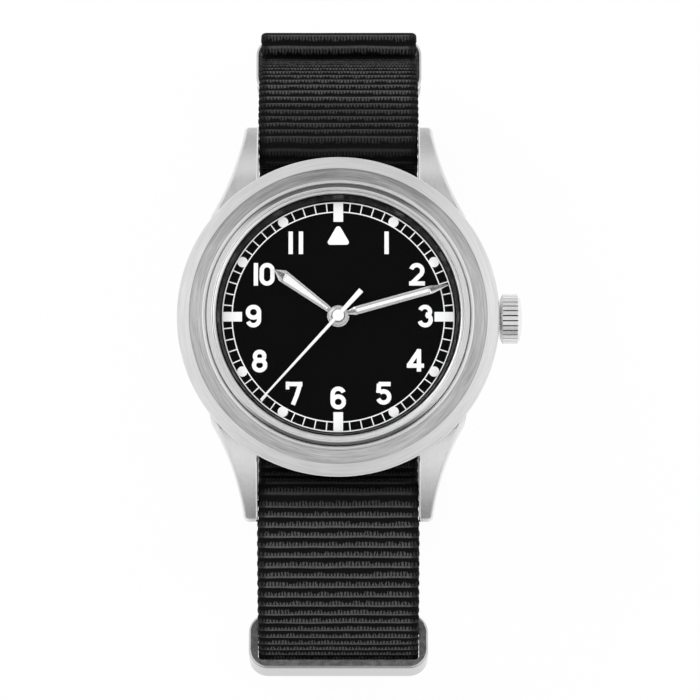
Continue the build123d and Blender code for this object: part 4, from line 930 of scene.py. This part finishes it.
HOUR_ANGLE, MINUTE_ANGLE, SECONDS_ANGLE = 306.3, 74.2, 222.2  # clockwise from twelve, in degrees
HOUR_LEVEL, MINUTE_LEVEL, SECONDS_LEVEL = (DIAL_TOP + rise for rise in (0.38, 0.78, 1.16))
HAND_THICKNESS = 0.15
WINDOW_DEPTH = 0.05
FULL_DEPTH_FROM = 0.1  # a window of this half width or more is sunk to its full depth
CREST_SHARE = 0.42  # where a frame's crest stands on the way from its window to its side
HOUR_BLADE = [  # distance out, half width, half width of the window, rise of the frame
    (0.95, 0.3, 0.02, 0.0), (1.52, 0.345, 0.02, 0.06), (1.62, 0.35, 0.13, 0.06),
    (7.36, 0.68, 0.46, 0.06), (7.52, 0.69, 0.02, 0.06), (7.7, 0.7, 0.015, 0.06),
    (8.84, 0.015, 0.005, 0.0),
]
MINUTE_BLADE = [
    (0.95, 0.17, 0.01, 0.0), (1.95, 0.465, 0.015, 0.06), (2.08, 0.465, 0.22, 0.06),
    (10.5, 0.465, 0.22, 0.06), (10.66, 0.465, 0.015, 0.06), (10.85, 0.465, 0.015, 0.06),
    (12.87, 0.015, 0.005, 0.0),
]
SECONDS_BLADE = [(-3.8, 0.3), (-0.5, 0.22), (0.5, 0.18), (12.8, 0.1)]  # distance out, half width


def frame_section(level, half, window, rise):
    """The (side, height) outline of a hand's blade: a frame with a crest, round a sunk window."""
    top = level + HAND_THICKNESS
    crest = window + CREST_SHARE * (half - window)
    floor = top + rise - WINDOW_DEPTH * min(1.0, window / FULL_DEPTH_FROM)
    right = [(half, level), (half, top), (crest, top + rise), (window, floor)]
    return [(-half, level)] + right + [(-side, height) for side, height in right[:0:-1]]


def soft_section(low, high, half, edge, drop):
    """The (side, height) outline of a flat bar with softened upper edges."""
    return [(-half, low), (half, low), (half, high - drop), (half - edge, high),
            (edge - half, high), (-half, high - drop)]


def blade(angle, sections):
    """A closed blade through (distance out, outline) sections, at an angle clockwise from twelve."""
    way = polar(1.0, angle)
    side = Vector((-way.y, way.x))
    return lofted([[(*(way * out + side * offset), height) for offset, height in outline]
                   for out, outline in sections])


def boss(level, bore, radius, slope, sunk=0.0):
    """The round boss of a hand, which rises by slope towards a flat, sunk middle."""
    top = level + HAND_THICKNESS
    bevel, depth = 0.04, 0.03  # of its outer edge, and of its sunk middle
    crest = (sunk or bore) + 0.02
    outline = [(bore, level), (radius, level), (radius, top - bevel), (radius - bevel, top),
               (crest, top + slope * (radius - crest))]
    if sunk:
        outline += [(sunk, top - depth), (bore + 0.01, top - depth)]
    return turned(outline, 64)


def framed_hand(name, node, angle, level, rows, middle, body):
    """A hand with its boss, and the paint in its window."""
    sections = [(out, frame_section(level, *sizes)) for out, *sizes in rows]
    shape = joined(blade(angle, sections), middle)
    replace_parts(mesh_piece(name, shape, HAND_STEEL, body), node)
    opened = [(out, window, rise) for out, _, window, rise in rows if window > 0.05]
    floor = level + HAND_THICKNESS + opened[0][2] - WINDOW_DEPTH
    gap = 0.03  # between the paint and the window's ends and sides
    low, high = floor - 0.01, floor + 0.035  # the paint's underside and top
    paint = [(out + inset, soft_section(low, high, window - gap, edge=0.02, drop=0.01))
             for (out, window, _), inset in zip(opened, (gap, -gap))]
    mesh_piece(name + "_lume", blade(angle, paint), HAND_LUME, body)


def seconds_hand():
    """The slim white hand with its disc, and the end of its steel pin."""
    top = SECONDS_LEVEL + HAND_THICKNESS
    sections = [(out, soft_section(SECONDS_LEVEL, top, half, edge=0.03, drop=0.03))
                for out, half in SECONDS_BLADE]
    disc = boss(SECONDS_LEVEL, bore=0.09, radius=0.65, slope=0.02)
    shape = joined(blade(SECONDS_ANGLE, sections), disc)
    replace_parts(mesh_piece("slim_seconds_hand", shape, HAND_WHITE, "seconds_train"),
                "seconds_hand")
    pin = plate(circle(radius=0.1, count=24), SECONDS_LEVEL, top - 0.01)
    mesh_piece("seconds_pin", pin, HAND_STEEL, "seconds_train")


framed_hand("framed_hour_hand", "hour_hand", HOUR_ANGLE, HOUR_LEVEL, HOUR_BLADE,
            boss(HOUR_LEVEL, bore=0.76, radius=1.24, slope=0.16), "hour_train")
framed_hand("framed_minute_hand", "minute_hand", MINUTE_ANGLE, MINUTE_LEVEL, MINUTE_BLADE,
            boss(MINUTE_LEVEL, bore=0.48, radius=1.12, slope=0.13, sunk=0.74), "minute_train")
seconds_hand()


# Polished rings of the bezel, and the edge between its brushed bands

BEAD_FOOT = 0.25  # how far a ring reaches down below its half-round top
EDGE_OUTER = 16.77  # the edge slopes down to the outer band as far out as this


def bead(name, radius, half_width, height, level):
    """A polished ring whose half-round top rises by height from a level above the dial."""
    foot = DIAL_TOP + level - BEAD_FOOT
    dome = arc((radius, DIAL_TOP + level), half_width, height, 0, 180, 12)
    outline = [(radius + half_width, foot)] + dome + [(radius - half_width, foot)]
    mesh_piece(name, turned(outline, 180), LIP_STEEL, HEAD, True)


bead("bezel_bead", radius=14.97, half_width=0.25, height=0.32, level=1.87)
bead("lip_bead", radius=13.8, half_width=0.21, height=0.21, level=1.72)
foot, outer_top, inner_top = (DIAL_TOP + rise for rise in (1.24, 1.346, 1.399))
slope = [(BAND_RADIUS, foot), (EDGE_OUTER, foot), (EDGE_OUTER, outer_top), (BAND_RADIUS, inner_top)]
mesh_piece("band_edge", turned(slope, 180), BEZEL_STEEL, HEAD)


# Polished edges along the inner sides of the lugs

LUG_GAP = 18.1  # mm between the lugs
LUG_FROM = 15.0  # the lugs' inner sides start this far from the middle
LUG_EDGE = 0.07  # half the thickness of the edge


def upper_edge(points):
    """The points on the upper side of the convex outline round some (y, z) points."""
    kept = []
    for point in sorted(points):
        while len(kept) > 1 and ((kept[-1][0] - kept[-2][0]) * (point[1] - kept[-2][1])
                                 >= (kept[-1][1] - kept[-2][1]) * (point[0] - kept[-2][0])):
            kept.pop()
        kept.append(point)
    return kept


def lug_edge(side, end):
    """A fine bright rod along one lug's inner top edge, set into it."""
    inner = side * LUG_GAP / 2
    spots = {(round(v.co.y / MM, 3), round(v.co.z / MM, 3)) for v in nodes["case_body"].data.vertices
             if abs(v.co.x / MM - inner) < 0.02 and end * v.co.y / MM > LUG_FROM}
    x = inner + side * LUG_EDGE
    return lofted([[(x + LUG_EDGE, y, z), (x, y, z + LUG_EDGE * 0.8), (x - LUG_EDGE, y, z),
                    (x, y, z - LUG_EDGE)] for y, z in upper_edge(spots)])


mesh_piece("lug_edges", joined(*(lug_edge(s, e) for s in (-1, 1) for e in (-1, 1))),
           BRIGHT_STEEL, HEAD)


# Studio and camera

FLOOR_REACH = 3000.0  # from the middle of the floor to each side, in mm
DARK_PATCH = (0.0, 0.139, 0.99)  # the way to the dark patch overhead that the metal mirrors


def stage_floor():
    """A pale floor that keeps the object's shadow and looks white to the camera."""
    material = bpy.data.materials.new("studio_floor")
    n = empty_tree(material)
    cloth = n.add("ShaderNodeBsdfDiffuse", Color=(0.9, 0.9, 0.9, 1.0))
    glow = n.add("ShaderNodeEmission", Color=WHITE, Strength=1.0)
    path = n.add("ShaderNodeLightPath").outputs
    seen = n.math("MAXIMUM", path["Is Camera Ray"], path["Is Glossy Ray"])
    seen = n.math("MAXIMUM", seen, path["Is Transmission Ray"])
    n.add("ShaderNodeOutputMaterial", Surface=n.mixed(n.product(seen, 0.95), cloth, glow).outputs[0])
    corners = [(x * FLOOR_REACH, y * FLOOR_REACH, 0) for x, y in ((-1, -1), (1, -1), (1, 1), (-1, 1))]
    linked("studio_floor", mesh_of("studio_floor", (corners, [(0, 1, 2, 3)]), material))


def studio_world():
    """Plain soft light from all round: white to the camera, darker overhead in the metal."""
    world = bpy.data.worlds.new("studio")
    bpy.context.scene.world = world
    n = empty_tree(world)
    path = n.add("ShaderNodeLightPath").outputs
    way = n.add("ShaderNodeTexCoord").outputs["Generated"]
    x, y, z = n.axes(way)
    nearness = n.add("ShaderNodeVectorMath", {"operation": "DOT_PRODUCT"}, i0=way,
                     i1=DARK_PATCH).outputs["Value"]
    overhead = n.spread(nearness, 0.955, 0.988, 1.0, 0.04)
    ends = n.spread(n.size(y), 0.8, 0.97, 1.0, 0.3)
    low_side = n.spread(y, -0.9, -0.3, 0.42, 1.0)
    # A short dark strip towards twelve, which the tops of the bezel and the ring mirror
    off_strip = n.math("SUBTRACT", n.size(n.math("SUBTRACT", y, 0.6)),
                       n.spread(n.size(x), 0.3, 0.7, 0.0, -0.2))
    soft = n.product(overhead, ends, low_side, n.spread(off_strip, 0.05, 0.1, 0.06, 1.0))
    white, mirrored = (n.add("ShaderNodeBackground", Color=WHITE, Strength=strength)
                       for strength in (1.0, soft))
    in_metal = n.mixed(path["Is Glossy Ray"], white, mirrored)
    first_sight = n.math("LESS_THAN", path["Glossy Depth"], 0.5)
    through_glass = n.product(path["Is Transmission Ray"], first_sight)
    seen = n.mixed(n.math("MAXIMUM", path["Is Camera Ray"], through_glass), in_metal, white)
    n.add("ShaderNodeOutputWorld", Surface=seen.outputs[0])


def aimed(holder, place, way):
    """Sets a lamp or camera down at a place, looking along a way."""
    holder.location = place
    holder.rotation_euler = way.to_track_quat("-Z", "Y").to_euler()


def soft_box(name, place, size, power):
    """A square lamp that looks at the dial, in metres and watts."""
    lamp = bpy.data.lights.new(name, "AREA")
    lamp.size = size
    lamp.energy = power
    holder = linked(name, lamp)
    holder.visible_glossy = False
    aimed(holder, place, Vector((0, 0, DIAL_TOP * MM)) - Vector(place))


def photo_camera():
    """The camera at the photograph's angle, looking at the spot in the middle of its picture."""
    elevation = math.radians(82.0)
    distance = 0.55
    lens_px, picture_px = 4932.0, 700.0
    aim = Vector((1.31, -3.7, DIAL_TOP)) * MM
    back = Vector((0.0, -math.cos(elevation), math.sin(elevation)))
    data = bpy.data.cameras.new("photo_camera")
    data.sensor_width = 36.0
    data.lens = lens_px / picture_px * data.sensor_width
    camera = linked("photo_camera", data)
    aimed(camera, aim + back * distance, -back)
    bpy.context.scene.camera = camera


stage_floor()
studio_world()
soft_box("key_lamp", place=(-0.5, 0.35, 0.75), size=0.5, power=2.4)
soft_box("fill_lamp", place=(0.6, -0.2, 0.8), size=0.6, power=1.2)
photo_camera()
bpy.context.scene.view_settings.view_transform = "Standard"
